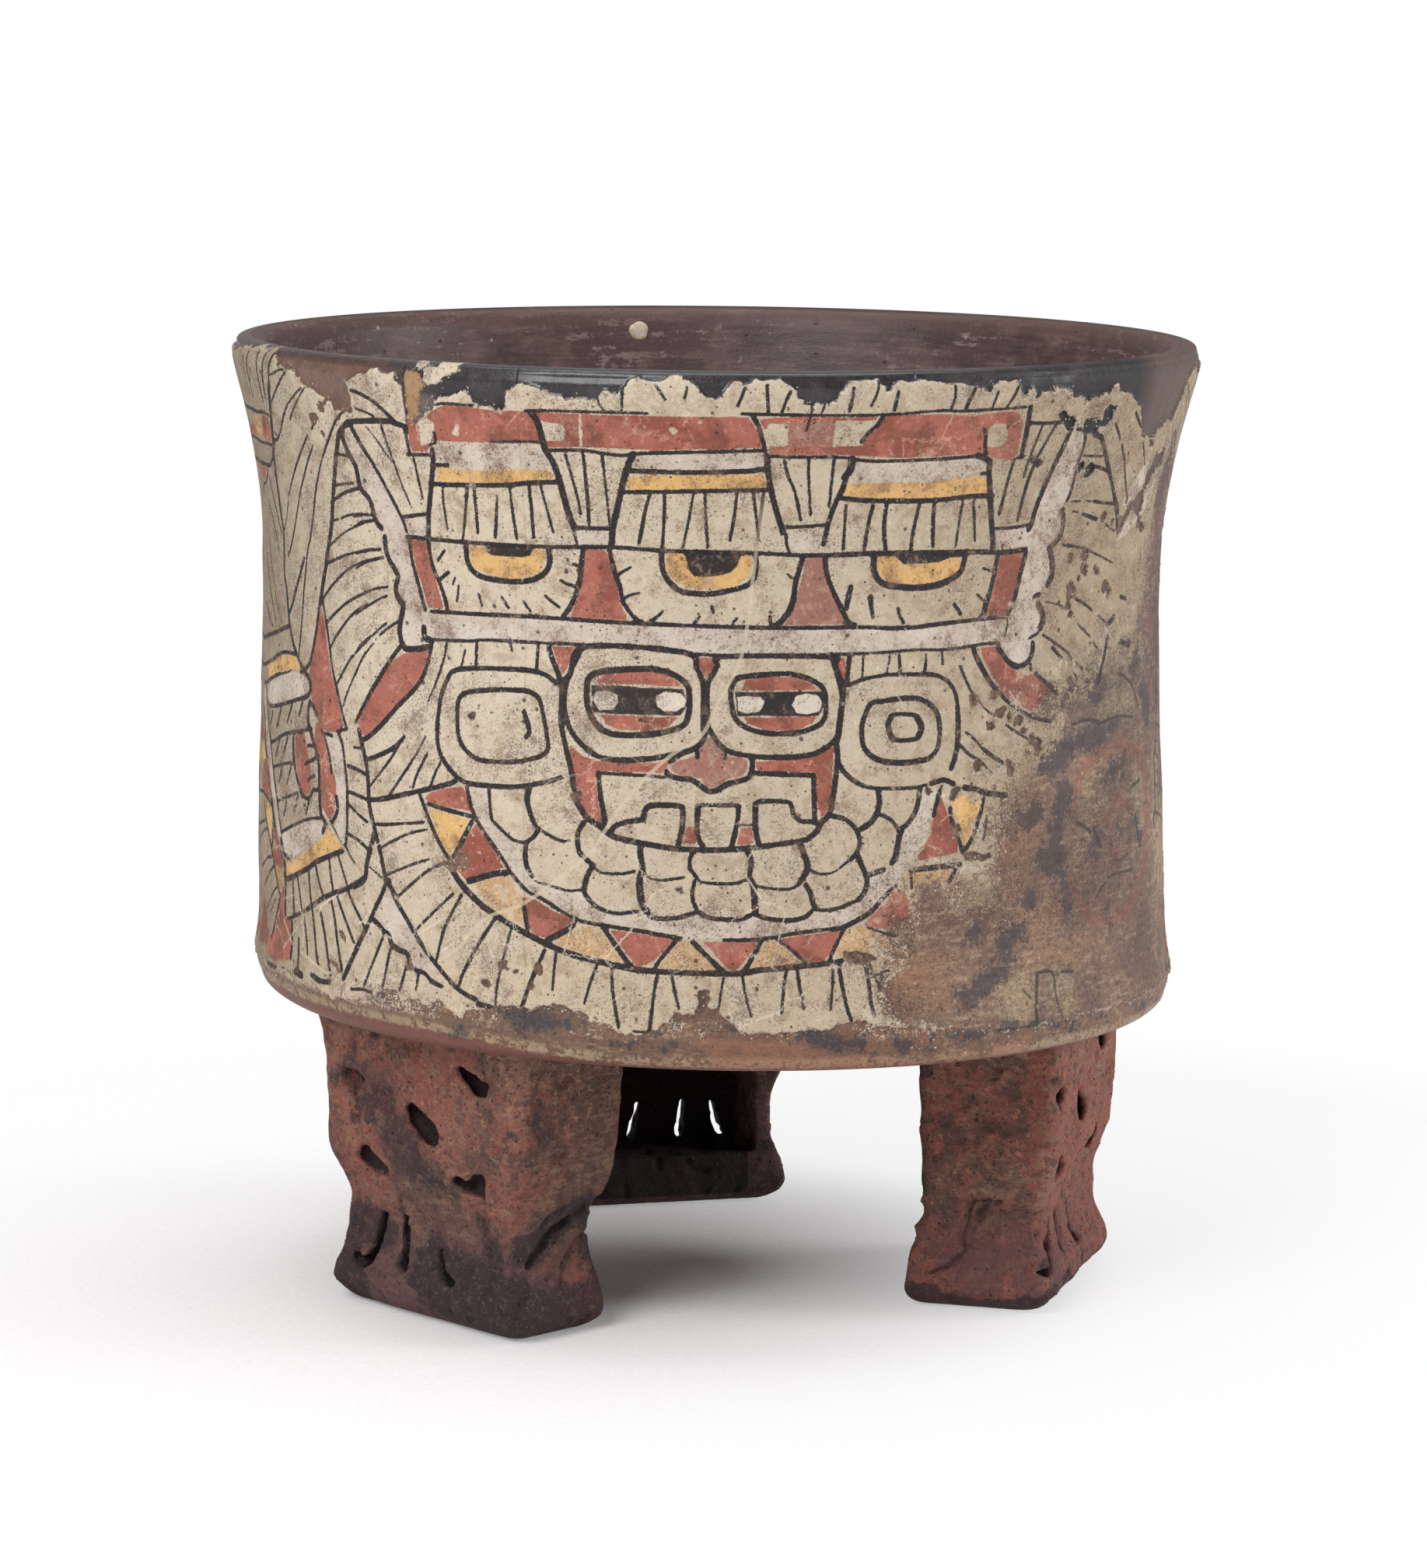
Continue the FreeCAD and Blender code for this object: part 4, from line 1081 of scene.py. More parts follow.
def around(points):
    """The figure as drawn on the front, on the back, and its end emblems turned over between the two."""
    yield points
    for turn in (HALF_TURN, -HALF_TURN):
        yield points + (turn, 0)
    if points[:, 0].max() < FIGURE_EDGE:
        for middle in (EMBLEM_EDGE, EMBLEM_EDGE + HALF_TURN, EMBLEM_EDGE - HALF_TURN):
            shift = middle - EMBLEM_EDGE
            mirrored = points.copy()
            mirrored[:, 0] = 2 * EMBLEM_EDGE - points[:, 0] + shift
            yield mirrored


def alone(points):
    """What is drawn in one place only."""
    yield points


def painted_fields(across, up):
    """What is painted, kept and lost over one stretch of the wall, as named grids."""

    def filled(areas, reach=REACH, copies=alone):
        field = Field(across, up, reach)
        for points in areas:
            for copy in copies(points):
                field.area(copy)
        return field

    def drawn(text, reach=REACH, copies=alone):
        field = Field(across, up, reach)
        for points, half in read_lines(text):
            for copy in copies(points):
                field.line(copy, half)
        return field.values

    s, z = across[None, :], up[:, None]
    wobble = 0.10 * ripple(s, z, 2.3, 11)
    grids = {"ink": drawn(LINES, copies=around) + 0.5 * wobble}
    for colour in ("dark", "white", "red", "pink", "yellow", "faded", "pale", "bald"):
        grids[colour] = filled(read_areas(AREAS[colour]), copies=around).values + wobble
    outline = np.vstack([stepped(STUCCO_TOP_LEFT), stepped(STUCCO_TOP), stepped(STUCCO_FOOT)[::-1]])
    kept = filled([outline] + read_areas(ISLANDS), COVER_REACH)
    lost = filled(read_areas(AREAS["bare"]), COVER_REACH)
    for chip in CHIPS.split():
        place, height, radius = (float(n) for n in chip.split(","))
        for turn in (0, HALF_TURN, -HALF_TURN):
            shift = 0 if turn == 0 else 9 * math.sin(7 * place)
            lost.dot(np.array([place + turn + shift, height + shift * 0.7]), radius)
    ragged = 0.30 * ripple(s, z, 2.6, 20) + 0.38 * ripple(s, z, 1.2, 21) + 0.22 * ripple(s, z, 0.6, 22)
    grids["cover"] = np.minimum(kept.values, -lost.values) + ragged
    grids["worn"] = filled(read_areas(WORN), WORN_REACH).values + 1.6 * ripple(s, z, 4.5, 31)
    for name, rows in STAINS.items():
        grids[name] = filled(read_areas(rows), STAIN_REACH).values
    grids["ghost"] = drawn(GHOSTS, GHOST_REACH)
    grids["crack"] = drawn(CRACKS, CRACK_REACH)
    return grids


def settle(points):
    """Leans the vessel's own slight lopsidedness into places given in mm."""
    out = points.copy()
    x, z = points[:, 0], points[:, 2]
    low = 1 - ease(z, 60, 160)
    lean = LEAN_HIGH + (LEAN_LOW - LEAN_HIGH) * low
    out[:, 2] -= x * lean * np.clip(z / UNDERSIDE, 0, 1)
    out[:, 0] -= SIDE_BOW * np.sin(np.pi * np.clip((z - UNDERSIDE) / 115, 0, 1))
    return out


def spaced(profile, step):
    """Places at even steps along a smooth curve through the profile."""
    curve = flowing(np.array(profile, float), False, steps=16)
    run = np.concatenate([[0], np.cumsum(np.hypot(*np.diff(curve, axis=0).T))])
    marks = np.linspace(0, run[-1], max(2, round(run[-1] / step)) + 1)
    return np.column_stack([np.interp(marks, run, curve[:, k]) for k in (0, 1)])


def turned(radius, across, height):
    """Places in mm round the vessel's axis, with width zero at the middle of the front."""
    angle = across / SPREAD
    parts = np.broadcast_arrays(radius * np.sin(angle), -radius * np.cos(angle), height)
    return np.stack(parts, axis=-1)


def new_piece(name, points, faces, material, replaces=()):
    """A finished piece from places in mm, riding with the vessel."""
    mesh = bpy.data.meshes.new(name)
    mesh.from_pydata((np.asarray(points) * MM).tolist(), [], faces)
    mesh.validate()
    piece = bpy.data.objects.new(name, mesh)
    bpy.context.scene.collection.objects.link(piece)
    return finish_piece(piece, material, replaces)


def finish_piece(piece, material, replaces=()):
    mesh = piece.data
    mesh.materials.clear()
    mesh.materials.append(material)
    mesh.polygons.foreach_set("use_smooth", np.ones(len(mesh.polygons), bool))
    mesh.update()
    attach(piece, "root")
    if replaces:
        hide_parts(*replaces)
    return piece


def keep_numbers(mesh, name, values):
    layer = mesh.attributes.new(name, "FLOAT", "POINT")
    layer.data.foreach_set("value", np.ascontiguousarray(values, dtype=np.float32).ravel())


def zip_faces(fine, coarse):
    """Faces that join a finely cut edge to a coarsely cut one, both given as vertex numbers."""
    faces = []
    j = 0
    for i in range(len(fine) - 1):
        while j < len(coarse) - 1 and (j + 0.5) / (len(coarse) - 1) < i / (len(fine) - 1):
            faces.append((fine[i], coarse[j + 1], coarse[j]))
            j += 1
        faces.append((fine[i], fine[i + 1], coarse[j]))
    while j < len(coarse) - 1:
        faces.append((fine[-1], coarse[j + 1], coarse[j]))
        j += 1
    return faces


def wall_panel(number, material, sizes):
    """One eighth of the painted wall as a closed shell, with its paint and losses kept on the mesh."""
    away = abs(number)
    grid_size = sizes.front_grid if away <= 1 else sizes.side_grid if away == 2 else sizes.back_grid
    step = grid_size / MM * COARSER
    width = ROUND / PANELS
    start = (number - 0.5) * width
    across = start + np.linspace(0, width, round(width / step) + 1)
    rows = spaced(WALL_PROFILE, sizes.row_grid / MM * COARSER)
    radius, up = rows[:, 0], np.maximum.accumulate(rows[:, 1] + 1e-6 * np.arange(len(rows)))
    grids = painted_fields(across, up)
    s, z = across[None, :], up[:, None]
    slope = np.gradient(rows, axis=0)
    length = np.hypot(slope[:, 0], slope[:, 1])
    out_r, out_z = slope[:, 1] / length, -slope[:, 0] / length
    body_part = ease(up, 52.5, 54.0) * (1 - ease(up, 165.3, 166.2))
    kept = ease(grids["cover"], -0.25, 0.15)
    depth = LOSS_DEPTH * (1 - kept)
    depth += WEAR_DEPTH * ease(grids["worn"] + 1.5 * ripple(s, z, 1.4, 44), -1.0, 2.5) * kept
    depth += CRACK_DEPTH * ease(grids["crack"], -0.25, 0.1)
    depth -= EDGE_LIFT * kept * (1 - ease(grids["cover"], 0.3, 1.2))
    relief = 0.16 * ripple(s, z, 19, 41) + 0.09 * ripple(s, z, 7.5, 42) + 0.03 * ripple(s, z, 2.6, 43)
    push = (relief - depth) * body_part[:, None]
    grid = turned(radius[:, None] + push * out_r[:, None], s, rows[:, 1][:, None] + push * out_z[:, None])
    high, wide = grid.shape[:2]
    back_columns, back_rows = 10, 24
    rear_s = np.linspace(across[0], across[-1], back_columns)
    picks = np.linspace(0, high - 1, back_rows).round().astype(int)
    thick = sizes.panel_thickness / MM
    rear = turned(
        (radius - thick * out_r)[picks][:, None],
        rear_s[None, :],
        (rows[:, 1] - thick * out_z)[picks][:, None],
    )
    points = np.vstack([grid.reshape(-1, 3), rear.reshape(-1, 3)])
    at = np.arange(high * wide).reshape(high, wide)
    behind = high * wide + np.arange(back_rows * back_columns).reshape(back_rows, back_columns)
    quads = np.stack([at[:-1, :-1], at[:-1, 1:], at[1:, 1:], at[1:, :-1]], -1).reshape(-1, 4)
    backs = np.stack([behind[:-1, :-1], behind[1:, :-1], behind[1:, 1:], behind[:-1, 1:]], -1).reshape(-1, 4)
    rims = [
        [f[::-1] for f in zip_faces(at[0].tolist(), behind[0].tolist())],
        zip_faces(at[-1].tolist(), behind[-1].tolist()),
        zip_faces(at[:, 0].tolist(), behind[:, 0].tolist()),
        [f[::-1] for f in zip_faces(at[:, -1].tolist(), behind[:, -1].tolist())],
    ]
    faces = quads.tolist() + backs.tolist()
    for rim in rims:
        faces += rim
    place = {0: "front", PANELS // 2: "back"}.get(number, f"left_{away}" if number < 0 else f"right_{away}")
    name = f"painted_wall_{place}"
    nodes = ("stucco_coat",) if number == 0 else ()
    piece = new_piece(name, settle(points), faces, material, nodes)
    mesh = piece.data
    tail = len(points) - high * wide

    def keep(key, values, behind_it):
        shown = np.broadcast_to(values, (high, wide)).ravel()
        keep_numbers(mesh, key, np.concatenate([shown, np.full(tail, behind_it)]))

    for key, values in grids.items():
        keep(key, values, -REACH)
    keep("across", s, 0.0)
    keep("ahead", 1 - ease(np.abs(s), 125.0, 175.0), 1.0)
    keep("height", z, 100.0)
    counts = [len(quads), len(backs)] + [len(rim) for rim in rims]
    lay_out_panel(mesh, high, wide, back_rows, back_columns, counts)
    return piece


def lay_out_panel(mesh, high, wide, back_rows, back_columns, counts):
    """Gives the panel a flat map: nearly all for the painted face, strips below for the hidden faces."""
    u = np.tile(np.linspace(0.006, 0.994, wide), high)
    v = np.repeat(np.linspace(0.045, 0.996, high), wide)
    ru = np.tile(np.linspace(0.006, 0.994, back_columns), back_rows)
    rv = np.repeat(np.linspace(0.012, 0.026, back_rows), back_columns)
    places = np.column_stack([np.concatenate([u, ru]), np.concatenate([v, rv])])
    corners = np.empty(len(mesh.loops), np.int32)
    mesh.loops.foreach_get("vertex_index", corners)
    flat = places[corners]
    starts = np.empty(len(mesh.polygons), np.int32)
    sizes = np.empty(len(mesh.polygons), np.int32)
    mesh.polygons.foreach_get("loop_start", starts)
    mesh.polygons.foreach_get("loop_total", sizes)
    owner = np.repeat(np.arange(len(sizes)), sizes)
    first = counts[0] + counts[1]
    outer = corners < high * wide
    bands = [(0.030, 0.040, True), (0.002, 0.010, True), (0.0005, 0.0035, False), (0.9965, 0.9995, False)]
    for count, (low, top, level) in zip(counts[2:], bands):
        mine = (owner >= first) & (owner < first + count)
        first += count
        edge = np.where(outer[mine], top, low)
        if level:
            flat[mine, 1] = edge
        else:
            flat[mine, 0] = edge
            hidden = ~outer[mine]
            spread = (flat[mine, 1] - 0.012) / 0.014 * 0.951 + 0.045
            flat[mine, 1] = np.where(hidden, spread, flat[mine, 1])
    layer = mesh.uv_layers.new(name="OFBake")
    layer.data.foreach_set("uv", flat.astype(np.float32).ravel())


def vessel_body(material, sizes):
    """The burnished inside with its floor, and the underside of the base, as one closed body."""
    step = sizes.body_grid / MM * COARSER
    inner = spaced(INSIDE_PROFILE, step)
    under = spaced(UNDER_PROFILE, step * 2)
    hull = np.array(WALL_PROFILE)[3:-3] - (1.5, 0)
    hidden = spaced([UNDER_PROFILE[-1], (76.6, 51.6)] + [tuple(p) for p in hull] + [(81.0, 166.0)], 3.0)[1:]
    outline = np.vstack([inner[::-1], hidden[::-1], under[::-1][1:]])
    ring = outline[1:-1]
    count = sizes.body_turns
    across = np.arange(count) / count * ROUND
    s, z = across[None, :], ring[:, 1][:, None]
    inside = (np.arange(len(ring)) < len(inner) - 1)[:, None]
    soft = ease(z, 60.5, 66) * (1 - ease(z, 163.5, 165.5))
    waves = 0.22 * ripple(s, z, 26, 51) + 0.08 * ripple(s, z, 8, 52)
    shift = np.where(inside, waves * soft, 0.0)
    body = turned(ring[:, 0][:, None] + shift, s, ring[:, 1][:, None] + 0 * s).reshape(-1, 3)
    floor = ring[:, 1][:, None] < 60.6
    out = ring[:, 0][:, None]
    waves = 0.25 * ripple(s * out / SPREAD, z + out, 15, 53)
    body[:, 2] += np.where(inside & floor, waves, 0).ravel()
    points = np.vstack([body, [[0, 0, outline[0, 1]], [0, 0, outline[-1, 1]]]])
    at = np.arange(len(ring) * count).reshape(len(ring), count)
    after = np.roll(at, -1, axis=1)
    faces = np.stack([at[:-1], after[:-1], after[1:], at[1:]], -1).reshape(-1, 4).tolist()
    top, bottom = len(points) - 2, len(points) - 1
    faces += [(top, b, a) for a, b in zip(at[0].tolist(), after[0].tolist())]
    faces += [(bottom, a, b) for a, b in zip(at[-1].tolist(), after[-1].tolist())]
    piece = new_piece(
        "burnished_body", settle(points), faces, material, ("vessel_wall", "base_slab")
    )
    turn_outwards(piece.data)
    return piece


def turn_outwards(mesh):
    work = bmesh.new()
    work.from_mesh(mesh)
    bmesh.ops.recalc_face_normals(work, faces=work.faces)
    work.to_mesh(mesh)
    work.free()


def mend_plug(material):
    """A small round plug of pale clay pushed through the wall, its two faces a little proud."""
    low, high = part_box("mend_plug")
    middle = (np.array(low) + np.array(high)) / 2 / MM
    middle = settle(middle[None, :])[0]
    outward = np.array([middle[0], middle[1], 0.0])
    outward /= np.linalg.norm(outward)
    side = np.cross((0, 0, 1), outward)
    length = 3.4
    end = [(0.0, 0.0), (0.0, 1.0), (0.12, 1.5), (0.4, 1.78), (0.9, 1.8)]
    stations = [(back - length, radius) for back, radius in end]
    stations += [(length - back, radius) for back, radius in reversed(end)]
    count = 40
    points, rings = [], []
    for along, radius in stations:
        angles = np.arange(count) / count * 2 * math.pi
        uneven = radius * (1 + 0.05 * np.sin(3 * angles + 1) + 0.03 * np.sin(5 * angles))
        ring = middle + outward * along + np.outer(np.cos(angles) * uneven, side)
        ring += np.outer(np.sin(angles) * uneven, (0, 0, 1))
        if radius == 0:
            ring = ring[:1]
        rings.append(list(range(len(points), len(points) + len(ring))))
        points.extend(ring)
    faces = []
    for a, b in zip(rings[:-1], rings[1:]):
        for k in range(count):
            n = (k + 1) % count
            if len(a) == 1:
                faces.append((a[0], b[k], b[n]))
            elif len(b) == 1:
                faces.append((a[k], b[0], a[n]))
            else:
                faces.append((a[k], b[k], b[n], a[n]))
    piece = new_piece("clay_plug", points, faces, material, ("mend_plug",))
    turn_outwards(piece.data)
    return piece


SUPPORTS = {
    # turn in degrees from the front towards the right, soot and painted shade, redness and painted light
    "left": (313.7, 0.20, 0.42),
    "right": (73.7, 0.03, 0.55),
    # The back support is darkest: its soot, and painted shade for standing under the vessel.
    "back": (193.7, 0.45, 0.15),
}

# Folds and gouges of each support. "low" and "high" are the cheeks on the two sides and take places
# as outward,height; "front" is the outward face and takes side,height. Then come the reach in mm and
# the depth in mm, below zero where clay stands proud.
SUPPORT_MARKS = {
    "left": [
        ("high", "-54,20 -57,18.2 -60,15.5 -62.5,13", 1.3, 1.6),
        ("high", "-50,21 -53,20.5 -55.5,19.6", 1.0, 0.9),
        ("high", "-55.5,22 -58,21.2 -60,19.5", 0.8, 0.7),
        ("high", "-55,16.5 -58,14 -60,11.5", 1.5, -0.8),
        ("high", "-52.5,15 -55,12.5 -56,9", 1.0, 0.6),
        ("high", "-49,17 -52,16 -54,13", 0.8, 0.6),
        ("high", "-64,9 -66,5", 1.8, 0.8),
        ("high", "-58,36 -56,33 -57,31", 1.6, 0.5),
        ("front", "-21,16.4 -9.5,16.6 2,17.4 8,18.2", 0.5, 0.35),
        ("front", "12,15 16,13.5 21,14", 0.9, 0.35),
        ("front", "-24,3 -22,1 -19,0.3", 2.5, 0.8),
    ],
    "right": [
        ("low", "-57.8,20 -56,20.2 -53.5,19.5 -52,16.5 -51.4,13.3 -52,10.7 -48.6,8.1 -45.8,6.7", 0.7, 0.85),
        ("low", "-57.3,19.9 -55,18.6 -54,17", 1.3, 0.8),
        ("low", "-57.8,17.7 -60.5,18.1 -63.4,18.1 -67,18.6", 0.8, 0.7),
        ("low", "-49,14 -47,17 -46.5,21", 2.6, -0.5),
        ("low", "-43.2,19 -42.8,16.6 -43.2,14", 1.7, -1.2),
        ("low", "-58,12.5 -55,9 -53,5", 4.5, -0.6),
        ("low", "-64,15 -66,11", 1.5, 0.5),
        ("low", "-65,32 -65.5,24 -64,21", 0.8, -0.4),
        ("front", "-22.5,19 -22.8,7.5", 0.8, 0.7),
        ("front", "-7,17 -9,8", 1.0, -0.5),
        ("front", "-20,31 -12,30 -9,27", 1.2, 0.45),
    ],
    "back": [
        ("low", "-60,12 -52,10.4 -46,9", 0.8, 0.5),
        ("high", "-60,13 -52,16 -46,20", 2.0, 0.5),
    ],
}


def join_nodes(name, nodes):
    """One mesh from copies of CAD nodes, with their loose triangles merged first."""
    work = bmesh.new()
    for node in nodes:
        part = bmesh.new()
        part.from_mesh(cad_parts[node].data)
        bmesh.ops.remove_doubles(part, verts=part.verts, dist=0.00001)
        holder = bpy.data.meshes.new("part")
        part.to_mesh(holder)
        part.free()
        work.from_mesh(holder)
        bpy.data.meshes.remove(holder)
    mesh = bpy.data.meshes.new(name)
    work.to_mesh(mesh)
    work.free()
    return mesh


def evaluated(piece):
    """The piece's mesh with its modifiers applied and taken away."""
    mesh = bpy.data.meshes.new_from_object(piece.evaluated_get(bpy.context.evaluated_depsgraph_get()))
    piece.modifiers.clear()
    piece.data = mesh
    return mesh


def mesh_places(mesh):
    values = np.empty(len(mesh.vertices) * 3)
    mesh.vertices.foreach_get("co", values)
    return values.reshape(-1, 3) / MM


def mesh_normals(mesh):
    values = np.empty(len(mesh.vertices) * 3)
    mesh.vertex_normals.foreach_get("vector", values)
    return values.reshape(-1, 3)


def to_run(points, run):
    """Distance in mm from each place to a bent run, both flat."""
    best = np.full(len(points), 1e9)
    run = numbers(run)
    for a, b in zip(run[:-1], run[1:]):
        line = b - a
        t = np.clip((points - a) @ line / (line @ line), 0, 1)
        best = np.minimum(best, np.linalg.norm(points - a - t[:, None] * line, axis=1))
    return best


def faces_of(local):
    """The places seen flat on each face of a support, and where they lie on that face."""
    side, outward, height = local.T
    cheek, front = np.column_stack([outward, height]), np.column_stack([side, height])
    return {
        "low": (cheek, ease(-side, 14.0, 18.0)),
        "high": (cheek, ease(side, 14.0, 18.0)),
        "front": (front, ease(-outward, 62.0, 65.0)),
    }


def behind_front(local):
    """How far each place lies behind the outward face at its height, in mm."""
    height = np.clip(local[:, 2].astype(int), 0, 60)
    face = np.zeros(61)
    np.minimum.at(face, height, local[:, 1])
    return local[:, 1] - face[height]


def rounded_sole(local, radius):
    """Pulls the foot's lowest edge in so that it comes round to the floor."""
    low = np.clip(radius - local[:, 2], 0, radius)
    inset = radius - np.sqrt(np.maximum(radius**2 - low**2, 0.0))
    middle = np.array([np.median(local[:, 0]), (local[:, 1].min() + local[:, 1].max()) / 2])
    half = np.array([24.0, 13.0])
    return (middle - local[:, :2]) * (inset[:, None] / half)


def support(place, material, sizes):
    """One hollow foot as a single lump of hand-worked clay, over the CAD's four plates."""
    turn, soot, redness = SUPPORTS[place]
    nodes = [f"{place}_{part}" for part in ("plaque", "sole", "cheek_a", "cheek_b")]
    piece = bpy.data.objects.new(f"{place}_support", join_nodes(f"{place}_support", nodes))
    bpy.context.scene.collection.objects.link(piece)
    remesh = piece.modifiers.new("one lump", "REMESH")
    remesh.mode = "VOXEL"
    remesh.voxel_size = sizes.clay_grid * COARSER
    smooth = piece.modifiers.new("softened", "SMOOTH")
    smooth.factor = 0.5
    smooth.iterations = 2
    mesh = evaluated(piece)
    points, normals = mesh_places(mesh), mesh_normals(mesh)
    angle = math.radians(turn)
    along = np.array([math.cos(angle), math.sin(angle)])
    out = np.array([-along[1], along[0]])
    local = np.column_stack([points[:, :2] @ along, points[:, :2] @ out, points[:, 2]])
    seed = {"left": 1, "right": 2, "back": 3}[place] * 100
    push = 0.38 * lump(points, 8.0, seed) + 0.24 * lump(points, 3.4, seed + 1)
    push += 0.13 * lump(points, 1.5, seed + 2)
    push -= 0.45 * ease(lump(points, 1.9, seed + 3), 0.45, 0.75)
    push -= 0.55 * ease(lump(points, 3.3, seed + 4), 0.55, 0.8)
    faces = faces_of(local)
    crease = np.zeros(len(points))
    bend = 0.5 * np.column_stack([lump(points, 2.4, seed + 8), lump(points, 2.4, seed + 9)])
    bend += 0.25 * np.column_stack([lump(points, 1.1, seed + 10), lump(points, 1.1, seed + 11)])
    for face, run, reach, depth in SUPPORT_MARKS[place]:
        flat, here = faces[face]
        mark = depth * (1 - ease(to_run(flat + bend, run), 0.0, reach)) * here
        push -= mark
        crease = np.maximum(crease, mark)
    hold = np.maximum(ease(points[:, 2], 0.4, 2.5), 0.15) * (1 - ease(points[:, 2], 49.8, 51.0))
    behind = behind_front(local)
    hollow = ease(behind, 0.7, 2.0) * (1 - ease(behind, 4.5, 6.0)) * (np.abs(local[:, 0]) < 19.5)
    push -= 0.9 * hollow * (points[:, 2] > 19.0)
    inset = rounded_sole(local, SOLE_ROUNDING)
    points += normals * (push * hold)[:, None]
    points[:, :2] += inset[:, :1] * along + inset[:, 1:] * out
    points[:, 2] = np.maximum(points[:, 2], 0.0)
    moved = settle(points)
    moved[:, 2] = np.maximum(moved[:, 2], 0.0)
    mesh.vertices.foreach_set("co", (moved * MM).ravel())
    keep_numbers(mesh, "soot", soot_and_shade_on(place, local, soot, seed))
    # The right support's outward face is made redder and lighter, as painted light from the right.
    redness = redness + 0.35 * lump(points, 14.0, seed + 5) + 0.3 * faces["front"][1] * (place == "right")
    keep_numbers(mesh, "redness", np.clip(redness, 0, 1))
    # Where the clay is painted nearly black as shade: the recess in the front and the inside of the hollow.
    inside = ease(local[:, 1], -63.0, -59.5) * (np.abs(local[:, 0]) < 17.5) * (points[:, 2] > 2)
    keep_numbers(mesh, "hollow", np.maximum(hollow, inside))
    keep_numbers(mesh, "crease", crease)
    finish_piece(piece, material, nodes)
    return piece


# Smoked places of the supports, with painted shade at their feet, as in SUPPORT_MARKS: face, run, reach in
# mm and strength.
SOOT_AND_SHADE_MARKS = {
    "left": [
        ("front", "-25,8 -24,3", 9.0, 0.9),
        ("front", "2,9 12,7 22,4", 9.0, 0.8),
        ("front", "-14,37 -3,27", 8.0, 0.45),
        ("front", "-22,40 -18,43", 5.0, 0.35),
        ("front", "-20,15 -14,13", 5.0, 0.5),
        ("front", "12,19 14,14", 4.0, 0.4),
        ("high", "-67,4 -58,3 -46,4 -43,8", 8.0, 0.95),
        ("high", "-62,16 -56,20 -50,21", 4.5, 0.8),
        ("high", "-63,38 -60,34", 4.0, 0.4),
        ("high", "-48,14 -44,11", 5.0, 0.6),
    ],
    "right": [
        ("low", "-42,3 -48,0.5 -60,0.5 -67,2", 3.5, 0.8),
        ("low", "-55,20 -52,12", 2.0, 0.3),
        ("low", "-56,17 -60,16 -64,15", 3.5, 0.35),
        ("low", "-44,45 -44,30 -44,22", 3.0, 0.45),
        ("front", "-20,4 -10,3 10,1 22,1", 3.0, 0.35),
    ],
    "back": [],
}


def soot_and_shade_on(place, local, amount, seed):
    """How dark the clay is made at each place, from 0 to 1: smoke, with painted shade low down and on the
    back support.
    """
    patches = 0.5 + 0.5 * lump(local, 7.0, seed + 6) + 0.35 * lump(local, 2.6, seed + 7)
    # darker towards the floor: partly smoke, partly painted shade
    smoke_and_shade = amount + 0.3 * (1 - ease(local[:, 2], 3, 18)) * patches + 0.35 * ease(patches, 0.75, 1.05)
    faces = faces_of(local)
    for face, run, reach, strength in SOOT_AND_SHADE_MARKS[place]:
        flat, here = faces[face]
        smoke_and_shade += strength * (1 - ease(to_run(flat, run), reach * 0.2, reach)) * here
    return np.clip(smoke_and_shade, 0, 1)


def grain_tree(name, material):
    """Geometry nodes that press small grains of grit into a surface."""
    tree = bpy.data.node_groups.new(name, "GeometryNodeTree")
    face = tree.interface
    face.new_socket("Surface", in_out="INPUT", socket_type="NodeSocketGeometry")
    for label in ("Grains per square metre", "Smallest", "Largest", "Flatness", "Where"):
        face.new_socket(label, in_out="INPUT", socket_type="NodeSocketFloat").default_value = 1.0
    face.new_socket("Grains", in_out="OUTPUT", socket_type="NodeSocketGeometry")

    def add(kind, sockets=None, **settings):
        """Outputs of a new node; its inputs take numbers, or outputs of the nodes before it."""
        node = tree.nodes.new(kind)
        for setting, value in settings.items():
            setattr(node, setting, value)
        for key, given in (sockets or {}).items():
            if isinstance(given, bpy.types.NodeSocket):
                tree.links.new(given, node.inputs[key])
            else:
                node.inputs[key].default_value = given
        return node.outputs

    given = add("NodeGroupInput")
    wanted = {0: given["Grains per square metre"], 1: given["Where"]}
    density = add("ShaderNodeMath", wanted, operation="MULTIPLY")[0]
    wanted = {"Mesh": given["Surface"], "Density": density, "Seed": 7}
    scatter = add("GeometryNodeDistributePointsOnFaces", wanted)
    wanted = {2: given["Smallest"], 3: given["Largest"], "Seed": 3}
    size = add("FunctionNodeRandomValue", wanted, data_type="FLOAT")[1]
    flat = add("ShaderNodeMath", {0: size, 1: given["Flatness"]}, operation="MULTIPLY")[0]
    wanted = {
        "Points": scatter["Points"],
        "Rotation": scatter["Rotation"],
        "Instance": add("GeometryNodeMeshIcoSphere", {"Radius": 1.0, "Subdivisions": 1})["Mesh"],
        "Scale": add("ShaderNodeCombineXYZ", {"X": size, "Y": size, "Z": flat})[0],
    }
    placed = add("GeometryNodeInstanceOnPoints", wanted)[0]
    spin = add("FunctionNodeRandomValue", {3: FULL_SPIN, "Seed": 5}, data_type="FLOAT")[1]
    twist = add("ShaderNodeCombineXYZ", {"Z": spin})[0]
    spun = add("GeometryNodeRotateInstances", {"Instances": placed, "Rotation": twist})[0]
    whole = add("GeometryNodeRealizeInstances", {"Geometry": spun})[0]
    smooth = add("GeometryNodeSetShadeSmooth", {"Geometry": whole})[0]
    finished = add("GeometryNodeSetMaterial", {"Geometry": smooth, "Material": material})[0]
    add("NodeGroupOutput", {"Grains": finished})
    return tree


